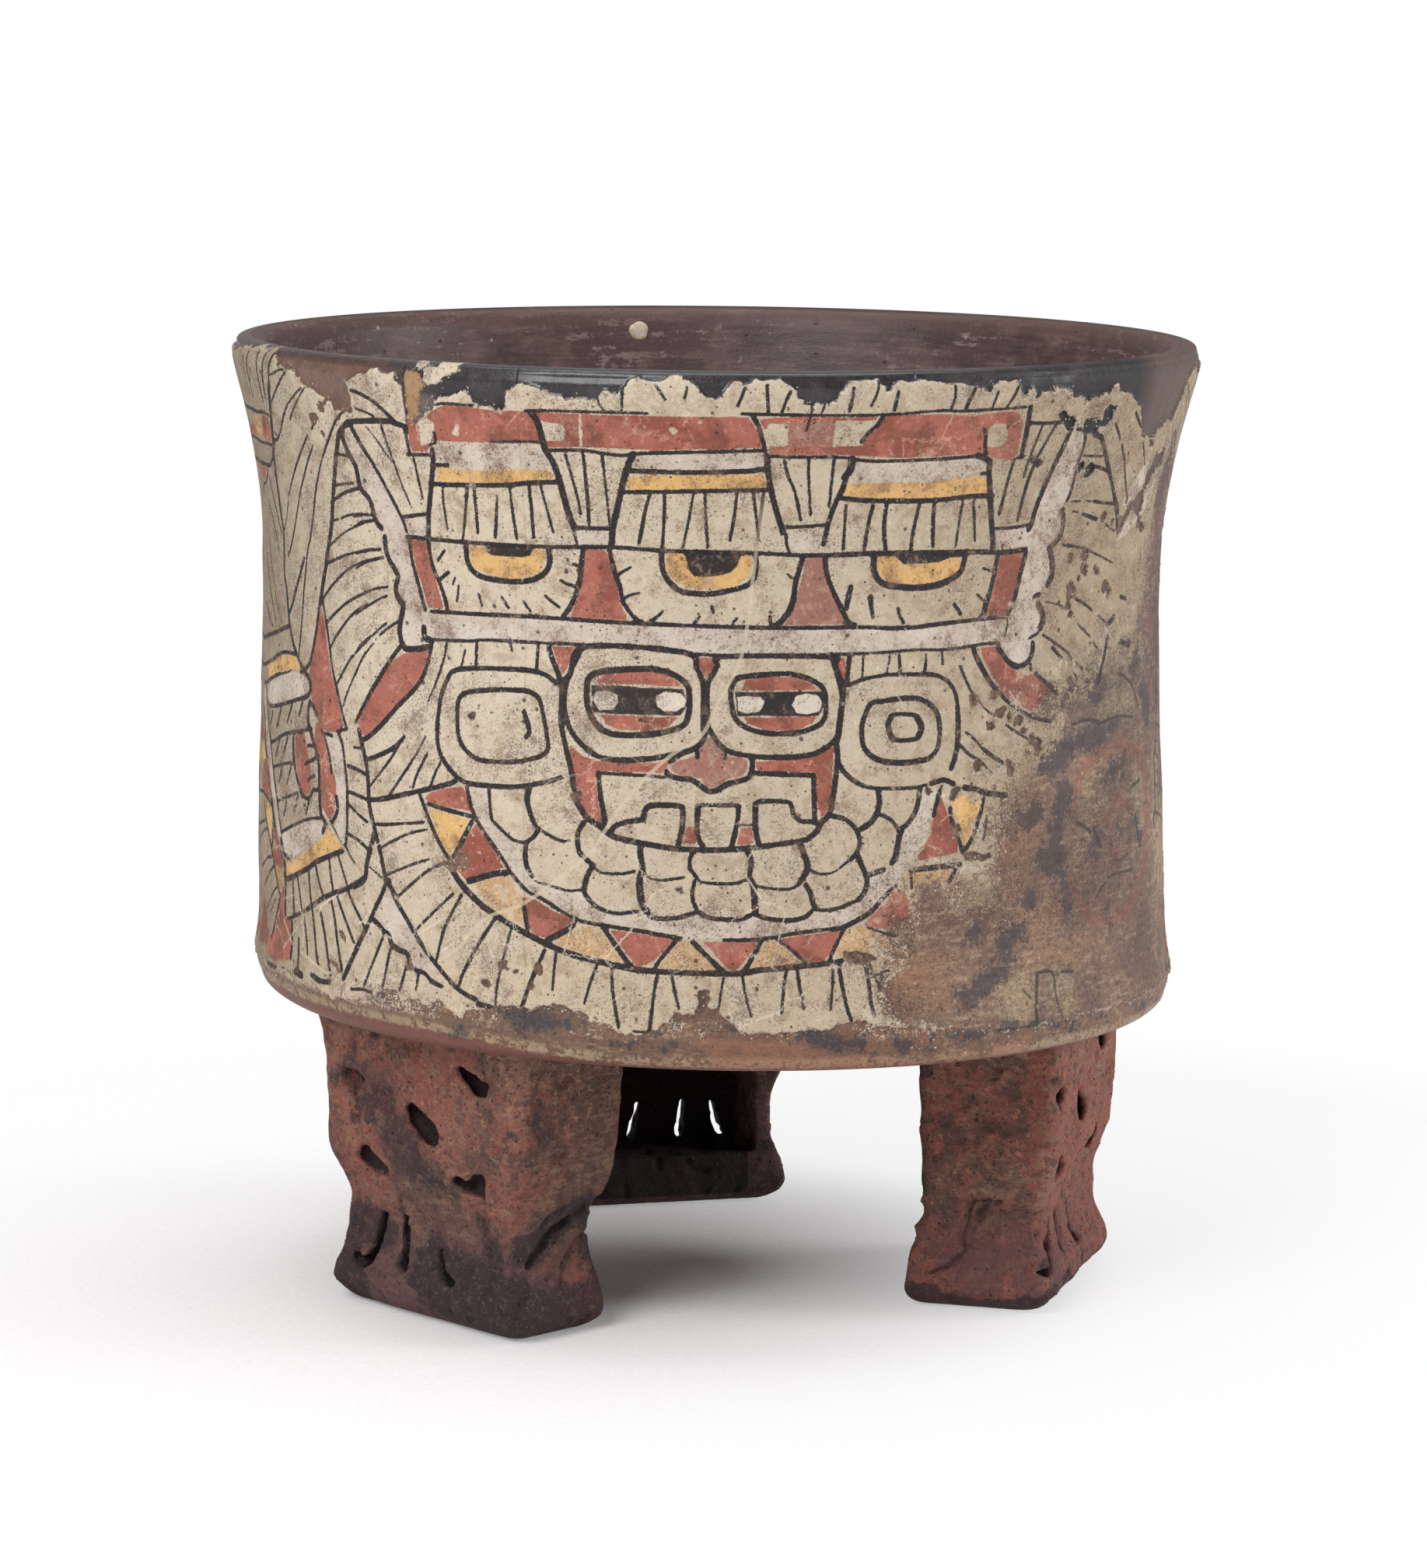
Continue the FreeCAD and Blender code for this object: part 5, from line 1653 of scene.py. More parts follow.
def grains_on(name, surfaces, where, density, smallest, largest, flatness, material):
    """A plain mesh of grains pressed into the given surfaces, denser where the named numbers are high."""
    work = bmesh.new()
    for surface in surfaces:
        work.from_mesh(surface.data)
    mesh = bpy.data.meshes.new(name)
    work.to_mesh(mesh)
    work.free()
    piece = bpy.data.objects.new(name, mesh)
    bpy.context.scene.collection.objects.link(piece)
    if where:
        keep_numbers(mesh, "grain_here", np.concatenate([where(s.data) for s in surfaces]))
    modifier = piece.modifiers.new("grains", "NODES")
    tree = grain_tree(name, material)
    keys = {item.name: item.identifier for item in tree.interface.items_tree if item.in_out == "INPUT"}
    modifier.node_group = tree
    modifier[keys["Grains per square metre"]] = density / MM**2
    modifier[keys["Smallest"]] = smallest * MM
    modifier[keys["Largest"]] = largest * MM
    modifier[keys["Flatness"]] = flatness
    if where:
        modifier[keys["Where"] + "_use_attribute"] = True
        modifier[keys["Where"] + "_attribute_name"] = "grain_here"
    evaluated(piece)
    if not piece.data.polygons:
        raise RuntimeError(f"{name} came out with no grains")
    return finish_piece(piece, material)


def read_numbers(mesh, name):
    values = np.empty(len(mesh.vertices), np.float32)
    mesh.attributes[name].data.foreach_get("value", values)
    return values


def facing_out(mesh):
    """1 on the outward face of a wall piece, 0 on its borders and its back."""
    places, normals = mesh_places(mesh)[:, :2], mesh_normals(mesh)[:, :2]
    return ease((places * normals).sum(1) / np.linalg.norm(places, axis=1), 0.75, 0.85)


def along_losses(mesh):
    """Where crumbs of stucco cling: along the broken edges and over the worn patches."""
    cover, worn = read_numbers(mesh, "cover"), read_numbers(mesh, "worn")
    height = read_numbers(mesh, "height")
    edge = np.exp(-((cover + 0.35) / 0.45) ** 2)
    patch = ease(worn, -2.0, 0.5) * (1 - ease(worn, 1.5, 5.0))
    return np.clip(edge + 0.35 * patch, 0, 1) * facing_out(mesh) * (height > 52) * (height < 165)


def over_clay(mesh):
    height = mesh_places(mesh)[:, 2]
    return ease(height, 0.8, 3.0) * (1 - ease(height, 47.0, 50.0))


def tone(red, green, blue):
    """A colour as the eye sees it, 0 to 255, turned into the light it gives back."""
    parts = [c / 255 for c in (red, green, blue)]
    return tuple(c / 12.92 if c <= 0.04045 else ((c + 0.055) / 1.055) ** 2.4 for c in parts) + (1.0,)


class Value:
    """A number or colour that changes over a surface; sums with it add their own nodes."""

    def __init__(self, shade, socket):
        self.shade, self.socket = shade, socket

    def maths(self, operation, *others, clamp=False):
        sockets = dict(enumerate((self, *others)))
        return self.shade.node("ShaderNodeMath", {"operation": operation, "use_clamp": clamp}, sockets)

    def __add__(self, other):
        return self.maths("ADD", other)

    __radd__ = __add__

    def __sub__(self, other):
        return self.maths("SUBTRACT", other)

    def __rsub__(self, other):
        return (self * -1) + other

    def __mul__(self, other):
        return self.maths("MULTIPLY", other)

    __rmul__ = __mul__

    def __truediv__(self, other):
        return self.maths("DIVIDE", other)

    def __or__(self, other):
        return self.maths("MAXIMUM", other)

    def over(self, edge, soft):
        """0 where this is well below the edge, 1 where it is well above, changing over the width soft."""
        return self.maths("MULTIPLY_ADD", 1 / soft, 0.5 - edge / soft, clamp=True)

    def between(self, low, high, soft):
        return self.over(low, soft) * (1 - self.over(high, soft))


class Shade:
    """Builds one material's nodes."""

    def __init__(self, name):
        self.material = bpy.data.materials.new(name)
        self.material.use_nodes = True
        self.tree = self.material.node_tree
        self.tree.nodes.clear()
        self.place = self.node("ShaderNodeTexCoord", {}, {}, "Object")

    def node(self, kind, settings, sockets, output=0):
        made = self.tree.nodes.new(kind)
        for key, setting in settings.items():
            setattr(made, key, setting)
        for key, given in sockets.items():
            if isinstance(given, Value):
                self.tree.links.new(given.socket, made.inputs[key])
            else:
                made.inputs[key].default_value = given
        return Value(self, made.outputs[output])

    def kept(self, name):
        return self.node("ShaderNodeAttribute", {"attribute_name": name}, {}, "Fac")

    def noise(self, size, detail=2.0, rough=0.5, stretch=None, shift=0.0):
        """Soft random numbers round 0, mostly within a quarter, with bumps of about that size in mm."""
        where = self.place
        if stretch or shift:
            sockets = {"Vector": where, "Scale": stretch or (1, 1, 1), "Location": (shift, shift, shift)}
            where = self.node("ShaderNodeMapping", {}, sockets)
        sockets = {"Vector": where, "Scale": 1 / (size * MM), "Detail": detail, "Roughness": rough}
        return self.node("ShaderNodeTexNoise", {}, sockets) - 0.5

    def specks(self, size, share, radius, shift=0.0):
        """1 at small random spots: a share of the cells of that size in mm holds one of that radius."""
        where = self.node("ShaderNodeMapping", {}, {"Vector": self.place, "Location": (shift, shift, shift)})
        warp = self.noise(size * 0.5, 1.0, shift=shift + 1)
        sockets = {"Vector": where, "Scale": 1 / (size * MM)}
        cells = self.node("ShaderNodeTexVoronoi", {}, sockets, "Distance")
        pick = self.node("ShaderNodeTexVoronoi", {}, sockets, "Color")
        chosen = self.node("ShaderNodeSeparateColor", {}, {0: pick}, 0)
        big = self.node("ShaderNodeSeparateColor", {}, {0: pick}, 1)
        edge = (big * 0.7 + 0.5) * (radius / size)
        spot = (edge - cells + warp * 0.25).over(0.0, 0.08)
        return spot * (1 - chosen.over(share, 0.01))

    def web(self, size, width, warp, shift=0.0):
        """1 along a net of fine crooked lines with meshes of that size in mm."""
        bent = self.node("ShaderNodeCombineXYZ", {}, {0: warp * MM, 1: warp * -MM, 2: warp * MM})
        where = self.node("ShaderNodeVectorMath", {"operation": "ADD"}, {0: self.place, 1: bent})
        moved = self.node("ShaderNodeMapping", {}, {"Vector": where, "Location": (shift, shift, shift)})
        sockets = {"Vector": moved, "Scale": 1 / (size * MM)}
        edges = self.node("ShaderNodeTexVoronoi", {"feature": "DISTANCE_TO_EDGE"}, sockets, "Distance")
        worn = self.noise(size * 1.4, 2.0, 0.6, shift=shift + 4).over(0.03, 0.12)
        return (1 - edges.over(width, width)) * worn

    def mix(self, low, high, factor, blend="MIX"):
        settings = {"data_type": "RGBA", "blend_type": blend, "clamp_factor": True}
        return self.node("ShaderNodeMix", settings, {0: factor, 6: low, 7: high}, 2)

    def layers(self, base, *coats):
        """Colours laid over one another, each with how much of it covers."""
        for colour, cover in coats:
            if isinstance(colour, tuple) and len(colour) == 3:
                colour = tone(*colour)
            base = self.mix(base, colour, cover)
        return base

    def brighten(self, colour, by):
        """The colour made lighter or darker where the number is above or below 0."""
        factor = by + 1.0
        grey = self.node("ShaderNodeCombineColor", {}, {0: factor, 1: factor, 2: factor})
        return self.mix(colour, grey, 1.0, "MULTIPLY")

    def finish(self, colour, roughness, relief, depth, **fixed):
        """Joins colour, roughness and a relief of that depth in mm to the surface."""
        normal = self.node("ShaderNodeBump", {}, {"Height": relief, "Distance": depth * MM, "Strength": 1.0})
        sockets = {"Base Color": colour, "Roughness": roughness, "Normal": normal}
        surface = self.node("ShaderNodeBsdfPrincipled", {}, {**sockets, **fixed})
        self.output(surface)
        return self.material

    def output(self, surface):
        end = self.tree.nodes.new("ShaderNodeOutputMaterial")
        self.tree.links.new(surface.socket, end.inputs["Surface"])


def painted_stucco(colours):
    """Pale stucco with its faded painting, its losses down to burnished clay, and its wear."""
    shade = Shade("painted_stucco")
    s, z, ahead = shade.kept("across"), shade.kept("height"), shade.kept("ahead")
    fine = shade.noise(0.32, 2.0, 0.7)
    small = shade.noise(0.95, 3.5, 0.72, shift=0.3)
    rub = shade.noise(2.2, 4.0, 0.76, shift=2.3)
    patch = shade.noise(6.0, 3.5, 0.7, shift=0.7)
    broad = shade.noise(24.0, 2.0, 0.55, shift=1.9)
    streak = shade.noise(2.6, 4.0, 0.75, stretch=(1.0, 1.0, 0.22), shift=5.1)
    level = shade.noise(1.6, 3.5, 0.75, stretch=(0.4, 0.4, 1.8), shift=7.7)
    rough_edge = fine * 0.46 + small * 0.30
    web = shade.web(8.5, 0.013, small * 2.2 + rub * 3.0, 1.0)
    high = z.over(141.0, 12.0)

    def painted(name, soft=0.14, grow=0.0):
        return (shade.kept(name) + rough_edge + grow).over(0.0, soft)

    def stained(name, spread, soft):
        ragged = patch * 0.8 + rub * 1.2 + small * 1.2 + fine * 0.7
        return (shade.kept(name) + ragged * spread).over(0.0, soft)

    # The sides of the wall are darkened as painted shade, also through more grime and stain there.
    right = s.over(48.0, 46.0) * ahead
    left = (1 - s.over(-84.0, 40.0)) * ahead
    grime_and_side_shade = (fine * 1.2 + patch * 0.7 + broad * 0.5 + right * 0.07 + left * 0.07).over(0.125, 0.08)
    stain_and_side_shade = (rub + patch * 0.6 + small * 0.4 + right * 0.08 + left * 0.08).over(0.12, 0.12)
    flour = (small * 1.1 - patch * 0.5 - broad * 0.3).over(0.22, 0.08)
    pits = shade.specks(1.05, 0.42, 0.16, 3.0) | shade.specks(2.4, 0.36, 0.32, 5.0)
    ground = shade.layers(
        colours["ground"],
        # painted shade: darker stucco towards the foot of the wall
        (colours["ground_low"], (1 - z.over(82.0, 46.0)) * 0.7),
        # painted shade: darker stucco towards both sides of the wall
        (colours["ground_right"], s.over(14.0, 120.0) * ahead * 0.52),
        (colours["ground_right"], right * 0.75),
        (colours["ground_left"], left * 0.9),
        ((212, 198, 178), (patch + broad * 0.8).over(0.09, 0.16) * 0.5),
        # darker patches of the stucco's own tone, gathered more to the right as painted shade
        ((158, 138, 112), (shade.noise(3.4, 4.0, 0.75, shift=4.1) + right * 0.06).over(0.06, 0.12) * 0.6),
    )
    red = shade.layers(
        colours["red"],
        (colours["red_deep"], (patch - broad).over(0.03, 0.12) * 0.75),
        ((188, 124, 104), (rub - patch * 0.4 + small * 0.4).over(0.14, 0.10) * 0.7),
    )
    pink = shade.layers(
        colours["pink"],
        ((186, 150, 134), (rub + patch * 0.5 + small * 0.5).over(0.08, 0.12) * 0.6),
    )
    yellow = shade.layers(
        colours["yellow"],
        ((172, 132, 84), (patch + rub + small * 0.4).over(0.05, 0.18) * 0.8),
    )
    ochre = shade.layers(
        tone(186, 148, 102),
        ((210, 194, 172), (rub + small).over(0.08, 0.2) * 0.7),
        ((160, 116, 84), grime_and_side_shade * 0.6),
    )
    ink_tone = shade.layers(colours["ink"], (tone(70, 62, 62), (small + rub).over(0.12, 0.2) * 0.55))
    ink_keep = 1 - (rub * 0.9 + small * 0.9).over(0.27, 0.08)
    white = shade.layers(
        colours["pale"],
        ((206, 196, 186), (rub - patch).over(0.05, 0.16) * 0.55),
        ((154, 128, 114), (small + patch * 0.6 + rub * 0.3).over(0.10, 0.12) * 0.65),
    )
    painting = shade.layers(
        ground,
        (white, painted("pale", 0.3) * 0.88),
        (ochre, painted("faded", 0.5) * 0.85),
        (pink, painted("pink", 0.3) * 0.95),
        (yellow, painted("yellow", 0.22) * 0.95),
        (red, painted("red", 0.16) * (1 - (rub + small * 0.7).over(0.27, 0.08) * 0.8)),
        ((214, 166, 140), web * painted("red", 0.2) * 0.6),
        (ground, painted("bald", 0.2)),
        (ink_tone, painted("dark", 0.2, 0.05) * (ink_keep * 0.3 + 0.68)),
        ((208, 196, 180), painted("white", 0.16)),
        (ink_tone, painted("ink", 0.12, 0.07) * (ink_keep * 0.45 + 0.54)),
        ((216, 204, 184), web * (1 - z.over(96.0, 30.0)) * 0.8),
        ((212, 202, 186), flour * 0.5),
        ((128, 102, 82), stain_and_side_shade * 0.46),
        ((78, 60, 52), grime_and_side_shade * 0.60),
        ((58, 44, 41), pits * 0.85),
    )
    painting = shade.brighten(painting, fine * 0.62 + small * 0.42 + rub * 0.18 + 0.015)

    brown_rim = (1 - s.over(-55.0, 8.0)) * ahead
    bare_rim = shade.layers(
        colours["bare_rim"],
        ((66, 60, 64), (patch + streak * 0.6).over(0.08, 0.16) * 0.6),
        ((32, 28, 31), (rub + streak).over(0.10, 0.14) * 0.6),
        ((112, 84, 70), brown_rim * (1 - z.over(165.6, 1.0)) * 0.95),
        ((74, 52, 46), brown_rim * z.over(165.4, 1.2) * 0.7),
        ((86, 62, 54), brown_rim * (rub + patch).over(0.08, 0.16) * 0.6),
        ((92, 74, 66), s.over(84.0, 8.0) * ahead * 0.9),
        ((164, 148, 134), (shade.noise(4.5, 4.0, 0.8, shift=8.3) + small * 0.4).over(0.24, 0.05) * 0.5),
        ((132, 116, 108), s.between(-51.0, -46.0, 1.0) * (1 - z.over(161.0, 1.5)) * (small + 0.5)),
    )
    rise = z - (1 - s.over(-32.0, 36.0)) * ahead * 2.3
    middle = s.over(-5.0, 24.0) * ahead
    more_left = (1 - s.over(-56.0, 20.0)) * ahead * 0.12
    lime = z.between(56.8, 60.0, 1.2) * (rub + fine * 0.8 + more_left).over(0.11, 0.08)
    # A cream-tan band on the rounded lower edge: partly the clay's own tone, partly a painted highlight.
    pale_band_and_highlight = (rise + small * 2.4).between(51.9, 53.7, 0.8) * (patch + small + rub + 0.04).over(0.0, 0.12)
    bare_foot = shade.layers(
        colours["bare_foot"],
        ((106, 78, 58), (1 - s.over(-62.0, 40.0)) * ahead * 0.85),
        ((128, 91, 71), middle * (patch + rub + 0.06).over(0.0, 0.14) * 0.8),
        ((134, 112, 94), (patch + small).over(0.06, 0.14) * 0.55),
        ((70, 54, 50), (rub + patch * 0.7 + small * 0.4).over(0.09, 0.10) * 0.7),
        ((60, 52, 56), (level + patch + small * 0.8).over(0.09, 0.07) * (middle * 0.75 + 0.2)),
        ((150, 124, 98), (level - patch + small * 0.8).over(0.16, 0.07) * 0.6),
        ((206, 190, 168), lime * 0.8),
        ((162, 140, 112), pale_band_and_highlight * 0.75),
        ((112, 72, 62), 1 - (rise + small * 1.2).over(51.9, 0.5)),
    )
    foot = 1 - z.over(61.5, 5.0)
    bare_middle = shade.layers(
        tone(98, 77, 66),
        ((132, 106, 86), (patch + small * 0.6).over(0.03, 0.12) * 0.8),
        ((66, 54, 52), (broad + rub).over(0.07, 0.12) * 0.8),
        ((156, 120, 92), shade.noise(2.4, 3.5, 0.75, shift=11.0).over(0.12, 0.08) * 0.5),
    )
    bare = shade.layers(
        bare_middle,
        (bare_rim, high),
        (bare_foot, foot),
        ((158, 122, 88), stained("sand", 1.6, 0.5)),
        ((62, 55, 59), stained("smear", 6.5, 0.7) * foot * 0.9),
        ((154, 106, 80), stained("rust", 4.0, 1.2) * foot * 0.5),
        ((54, 42, 38), pits * 0.45),
    )
    bare = shade.brighten(bare, fine * 0.8 + small * 0.75 + level * 0.3)

    wear = shade.kept("worn")
    cloud = shade.noise(7.0, 4.0, 0.75, shift=17.0)
    pale_flecks = (shade.noise(3.4, 4.0, 0.8, shift=19.0) + small * 0.4 - cloud * 0.3).over(0.20, 0.05)
    worn_tone = shade.layers(
        tone(126, 101, 85),
        ((112, 95, 86), z.over(102.0, 10.0) * 0.8),
        ((106, 78, 72), s.over(98.0, 8.0) * z.over(104.0, 8.0) * ahead * 0.8),
        ((160, 136, 112), (level + patch * 0.6).over(0.06, 0.12) * 0.6),
        ((100, 76, 66), (broad * 0.8 - patch + rub * 0.8).over(0.05, 0.12) * 0.7),
        ((152, 116, 90), stained("rust", 9.0, 2.0) * 0.66),
        ((160, 143, 113), stained("remains", 8.0, 1.6) * 0.62),
        ((134, 80, 68), (shade.kept("ghost") + rub * 6.0 + small * 5.0).over(0.2, 1.4) * 0.5),
        ((120, 66, 56), painted("red", 0.3) * (ink_keep * 0.4 + 0.2)),
        ((70, 62, 64), stained("smear", 6.0, 0.7) * 0.85),
        ((50, 43, 45), painted("ink", 0.2, 0.05) * ink_keep * 0.85),
        ((66, 56, 54), (cloud + rub * 0.8 + small * 0.5).over(0.17, 0.05) * 0.7),
        ((186, 168, 144), pale_flecks * 0.6),
        ((58, 45, 42), (grime_and_side_shade | pits) * 0.72),
    )
    worn_tone = shade.brighten(worn_tone, fine * 1.15 + small * 1.15 + level * 0.9 + 0.01)
    worn_here = (wear + cloud * 9.0 + rub * 12.0 + small * 13.0 + fine * 8.0).over(0.0, 2.6)
    crust = (wear + small * 4.0).between(-5.0, 1.5, 2.0) * (rub + fine * 0.8 + small).over(0.10, 0.08)
    scab = (wear + rub * 8.0).between(-6.0, 1.0, 2.0) * (small + fine - rub).over(0.10, 0.08)

    cover = shade.kept("cover") + fine * 0.9 + small * 0.8
    kept = cover.over(0.0, 0.12)
    ends = high | foot
    rim_light = cover.between(0.0, 0.4, 0.2) * (ends * 0.5 + 0.15) * (rub + small * 0.8).over(0.06, 0.16)
    crack = (shade.kept("crack") + fine * 0.2).over(0.0, 0.12)
    painting = shade.layers(
        painting,
        ((204, 192, 172), crust * 0.7),
        ((104, 84, 72), scab * 0.7),
        (worn_tone, worn_here),
    )
    colour = shade.layers(
        bare,
        (painting, kept),
        ((210, 198, 180), rim_light),
        ((206, 190, 164), crack * (1 - high) * 0.55),
        ((44, 33, 30), crack * high * 0.9),
    )
    gloss = high * (1 - kept)
    bare_rough = 0.50 - high * 0.20 + right * high * 0.25 + small * 0.25
    painted_rough = 0.74 - worn_here * 0.12 + small * 0.2
    sockets = {0: kept, 2: bare_rough, 3: painted_rough}
    roughness = shade.node("ShaderNodeMix", {"data_type": "FLOAT"}, sockets)
    relief = fine * 0.7 + small * 1.0 - pits * 0.6 + rub * 0.6 * kept - grime_and_side_shade * 0.2 + worn_here * rub * 0.8
    lip = z.over(160.5, 3.0) * (0.55 + rub * 0.8 - brown_rim * 0.3 - s.over(52.0, 24.0) * ahead * 0.6)
    fixed = {"Specular IOR Level": 0.30, "Coat Roughness": 0.16, "Coat Weight": gloss * lip}
    return shade.finish(colour, roughness, relief, 0.16, **fixed)


def burnished_clay(colours):
    """Dark brown clay, rubbed smooth with a stone round and round while half dry."""
    shade = Shade("burnished_clay")
    fine = shade.noise(0.6, 2.0, 0.6)
    small = shade.noise(1.6, 3.5, 0.7, shift=0.6)
    strokes = shade.noise(3.0, 3.0, 0.65, stretch=(0.3, 0.3, 2.4))
    patch = shade.noise(9.0, 3.5, 0.65, shift=1.3)
    cloud = shade.noise(22.0, 3.0, 0.6, shift=3.3)
    height = shade.node("ShaderNodeSeparateXYZ", {}, {0: shade.place}, "Z") / MM
    pits = shade.specks(2.6, 0.35, 0.26, 8.0)
    colour = shade.layers(
        colours["inside"],
        ((118, 92, 84), (patch + strokes * 0.5 + cloud * 0.4).over(0.06, 0.2) * 0.75),
        ((58, 44, 46), (cloud + small * 0.4).over(0.06, 0.2) * 0.75),
        ((140, 122, 116), (small + strokes * 1.1 - cloud * 0.5).over(0.20, 0.07) * 0.55),
        ((44, 34, 36), (strokes + small * 0.6 + patch * 0.5).over(0.20, 0.07) * 0.6),
        ((86, 64, 58), height.over(163.5, 2.0) * 0.7),
        ((98, 68, 56), 1 - height.over(52.5, 1.0)),
        ((176, 156, 138), shade.specks(3.4, 0.14, 0.3, 4.0) * 0.7),
        ((36, 28, 30), pits * 0.7),
    )
    colour = shade.brighten(colour, fine * 0.6 + strokes * 0.5 + small * 0.5)
    relief = strokes * 0.8 + fine * 0.4 + small * 0.5 - pits * 0.6
    roughness = 0.46 + patch * 0.3 + fine * 0.2
    return shade.finish(colour, roughness, relief, 0.12, **{"Specular IOR Level": 0.32})


def smoked_clay(colours):
    """The supports' coarse clay: brown, reddish near the join, darkened low down by smoke and by painted
    shade.
    """
    shade = Shade("smoked_clay")
    fine = shade.noise(0.35, 3.0, 0.75)
    small = shade.noise(1.1, 4.0, 0.75, shift=0.4)
    rub = shade.noise(2.6, 4.0, 0.78, shift=3.4)
    patch = shade.noise(5.5, 4.0, 0.75, shift=0.9)
    cloud = shade.noise(13.0, 3.5, 0.65, shift=2.7)
    drag = shade.noise(2.4, 3.5, 0.75, stretch=(0.6, 0.6, 2.2), shift=6.1)
    height = shade.node("ShaderNodeSeparateXYZ", {}, {0: shade.place}, "Z") / MM
    # darkening from smoke and from painted shade
    soot = (shade.kept("soot") + patch * 1.7 + rub * 1.2 + small * 0.9 + fine * 0.5).over(0.52, 0.28)
    # redness, with painted light on the right support's outward face
    redness = (shade.kept("redness") + patch * 1.3 + rub * 0.9 + cloud * 0.6 + small * 0.6).over(0.44, 0.22)
    pits = shade.specks(1.5, 0.42, 0.2, 12.0) | shade.specks(3.4, 0.34, 0.42, 15.0)
    hollow = shade.kept("hollow")
    colour = shade.layers(
        colours["support"],
        ((142, 86, 74), redness * 0.78),
        ((134, 108, 90), (drag + cloud * 0.6 + rub * 0.5).over(0.05, 0.12) * 0.62),
        ((112, 62, 56), (rub - patch * 0.5).over(0.08, 0.08) * redness * 0.6),
        ((168, 122, 96), (small + rub * 0.5 + height.over(40.0, 16.0) * 0.05).over(0.15, 0.07) * 0.6),
        ((62, 52, 52), (shade.noise(3.8, 4.0, 0.8, shift=9.2) + small * 0.4).over(0.10, 0.06) * 0.7),
        ((92, 66, 68), (1 - height.over(17.0, 12.0)) * (cloud + rub + 0.05).over(0.0, 0.12) * 0.7),
        ((44, 37, 40), soot * 0.82),
        ((98, 84, 82), soot * (small + fine * 0.6).over(0.10, 0.1) * 0.5),
        ((196, 170, 150), (shade.noise(6.0, 4.0, 0.85, shift=14.0) + fine * 0.5).over(0.24, 0.05) * 0.5),
        ((206, 128, 88), shade.specks(8.5, 0.10, 0.45, 2.0) * 0.7),
        ((34, 25, 25), pits * 0.75),
        ((40, 30, 29), (shade.kept("crease") + rub * 1.2).over(0.62, 0.5) * 0.65),
        # painted shade: the recess and the inside of the hollow made nearly black
        ((24, 17, 18), hollow.over(0.35, 0.5) * 0.85),
    )
    colour = shade.brighten(colour, fine * 1.1 + small * 1.0 + rub * 0.5 + 0.06)
    relief = fine * 0.8 + small * 1.3 + rub * 0.8 - pits * 0.8
    return shade.finish(colour, 0.80 + small * 0.3, relief, 0.32, **{"Specular IOR Level": 0.25})


def speckled(name, dark, light, size, roughness=0.8):
    """A plain grainy finish between two tones."""
    shade = Shade(name)
    fine, patch = shade.noise(size, 3.0, 0.6), shade.noise(size * 6, 2.0, 0.5, shift=2.0)
    colour = shade.mix(dark, light, (fine + patch).over(0.0, 0.35))
    return shade.finish(colour, roughness + fine * 0.2, fine, 0.05)


def pale_floor(reach):
    """A floor that takes the vessel's soft shadow close by and is plain white further out."""
    shade = Shade("pale_floor")
    x = shade.node("ShaderNodeSeparateXYZ", {}, {0: shade.place}, "X") + 0.008
    y = shade.node("ShaderNodeSeparateXYZ", {}, {0: shade.place}, "Y") + 0.008
    away = (x * x + y * y).maths("SQRT")
    grain = shade.noise(1.2, 3.0)
    paper = shade.mix(tone(236, 233, 233), tone(250, 248, 248), grain * 2.0 + 0.5)
    near = shade.node("ShaderNodeBsdfPrincipled", {}, {"Base Color": paper, "Roughness": 0.9})
    glow = shade.node("ShaderNodeEmission", {}, {"Color": (1, 1, 1, 1), "Strength": 1.0})
    parts = [shade.node("ShaderNodeLightPath", {}, {}, part) for part in ("Is Camera Ray", "Is Glossy Ray")]
    seen = parts[0] | parts[1]
    lift = (away + x * 0.35).over(reach * 0.24, reach * 0.36) * 0.75
    fade = (lift | away.over(reach * 0.6, reach * 0.7)) * seen
    shade.output(shade.node("ShaderNodeMixShader", {}, {0: fade, 1: near, 2: glow}))
    return shade.material


def studio_world():
    """White behind the vessel, and an even light from all round."""
    world = bpy.data.worlds.new("studio")
    bpy.context.scene.world = world
    world.use_nodes = True
    tree = world.node_tree
    tree.nodes.clear()
    path = tree.nodes.new("ShaderNodeLightPath")
    room, white = tree.nodes.new("ShaderNodeBackground"), tree.nodes.new("ShaderNodeBackground")
    room.inputs["Color"].default_value = (1.0, 1.0, 1.0, 1.0)
    room.inputs["Strength"].default_value = 0.34
    white.inputs["Strength"].default_value = 1.0
    white.inputs["Color"].default_value = (1, 1, 1, 1)
    mix, end = tree.nodes.new("ShaderNodeMixShader"), tree.nodes.new("ShaderNodeOutputWorld")
    tree.links.new(path.outputs["Is Camera Ray"], mix.inputs[0])
    tree.links.new(room.outputs[0], mix.inputs[1])
    tree.links.new(white.outputs[0], mix.inputs[2])
    tree.links.new(mix.outputs[0], end.inputs["Surface"])


def soft_lamp(name, place, aim, size, power, colour=(1.0, 1.0, 1.0)):
    lamp = bpy.data.lights.new(name, "AREA")
    lamp.shape = "RECTANGLE"
    lamp.size, lamp.size_y = size
    lamp.energy = power
    lamp.color = colour
    holder = bpy.data.objects.new(name, lamp)
    place, aim = Vector(place), Vector(aim)
    turn = (place - aim).to_track_quat("Z", "Y").to_matrix().to_4x4()
    holder.matrix_world = Matrix.Translation(place) @ turn
    bpy.context.scene.collection.objects.link(holder)


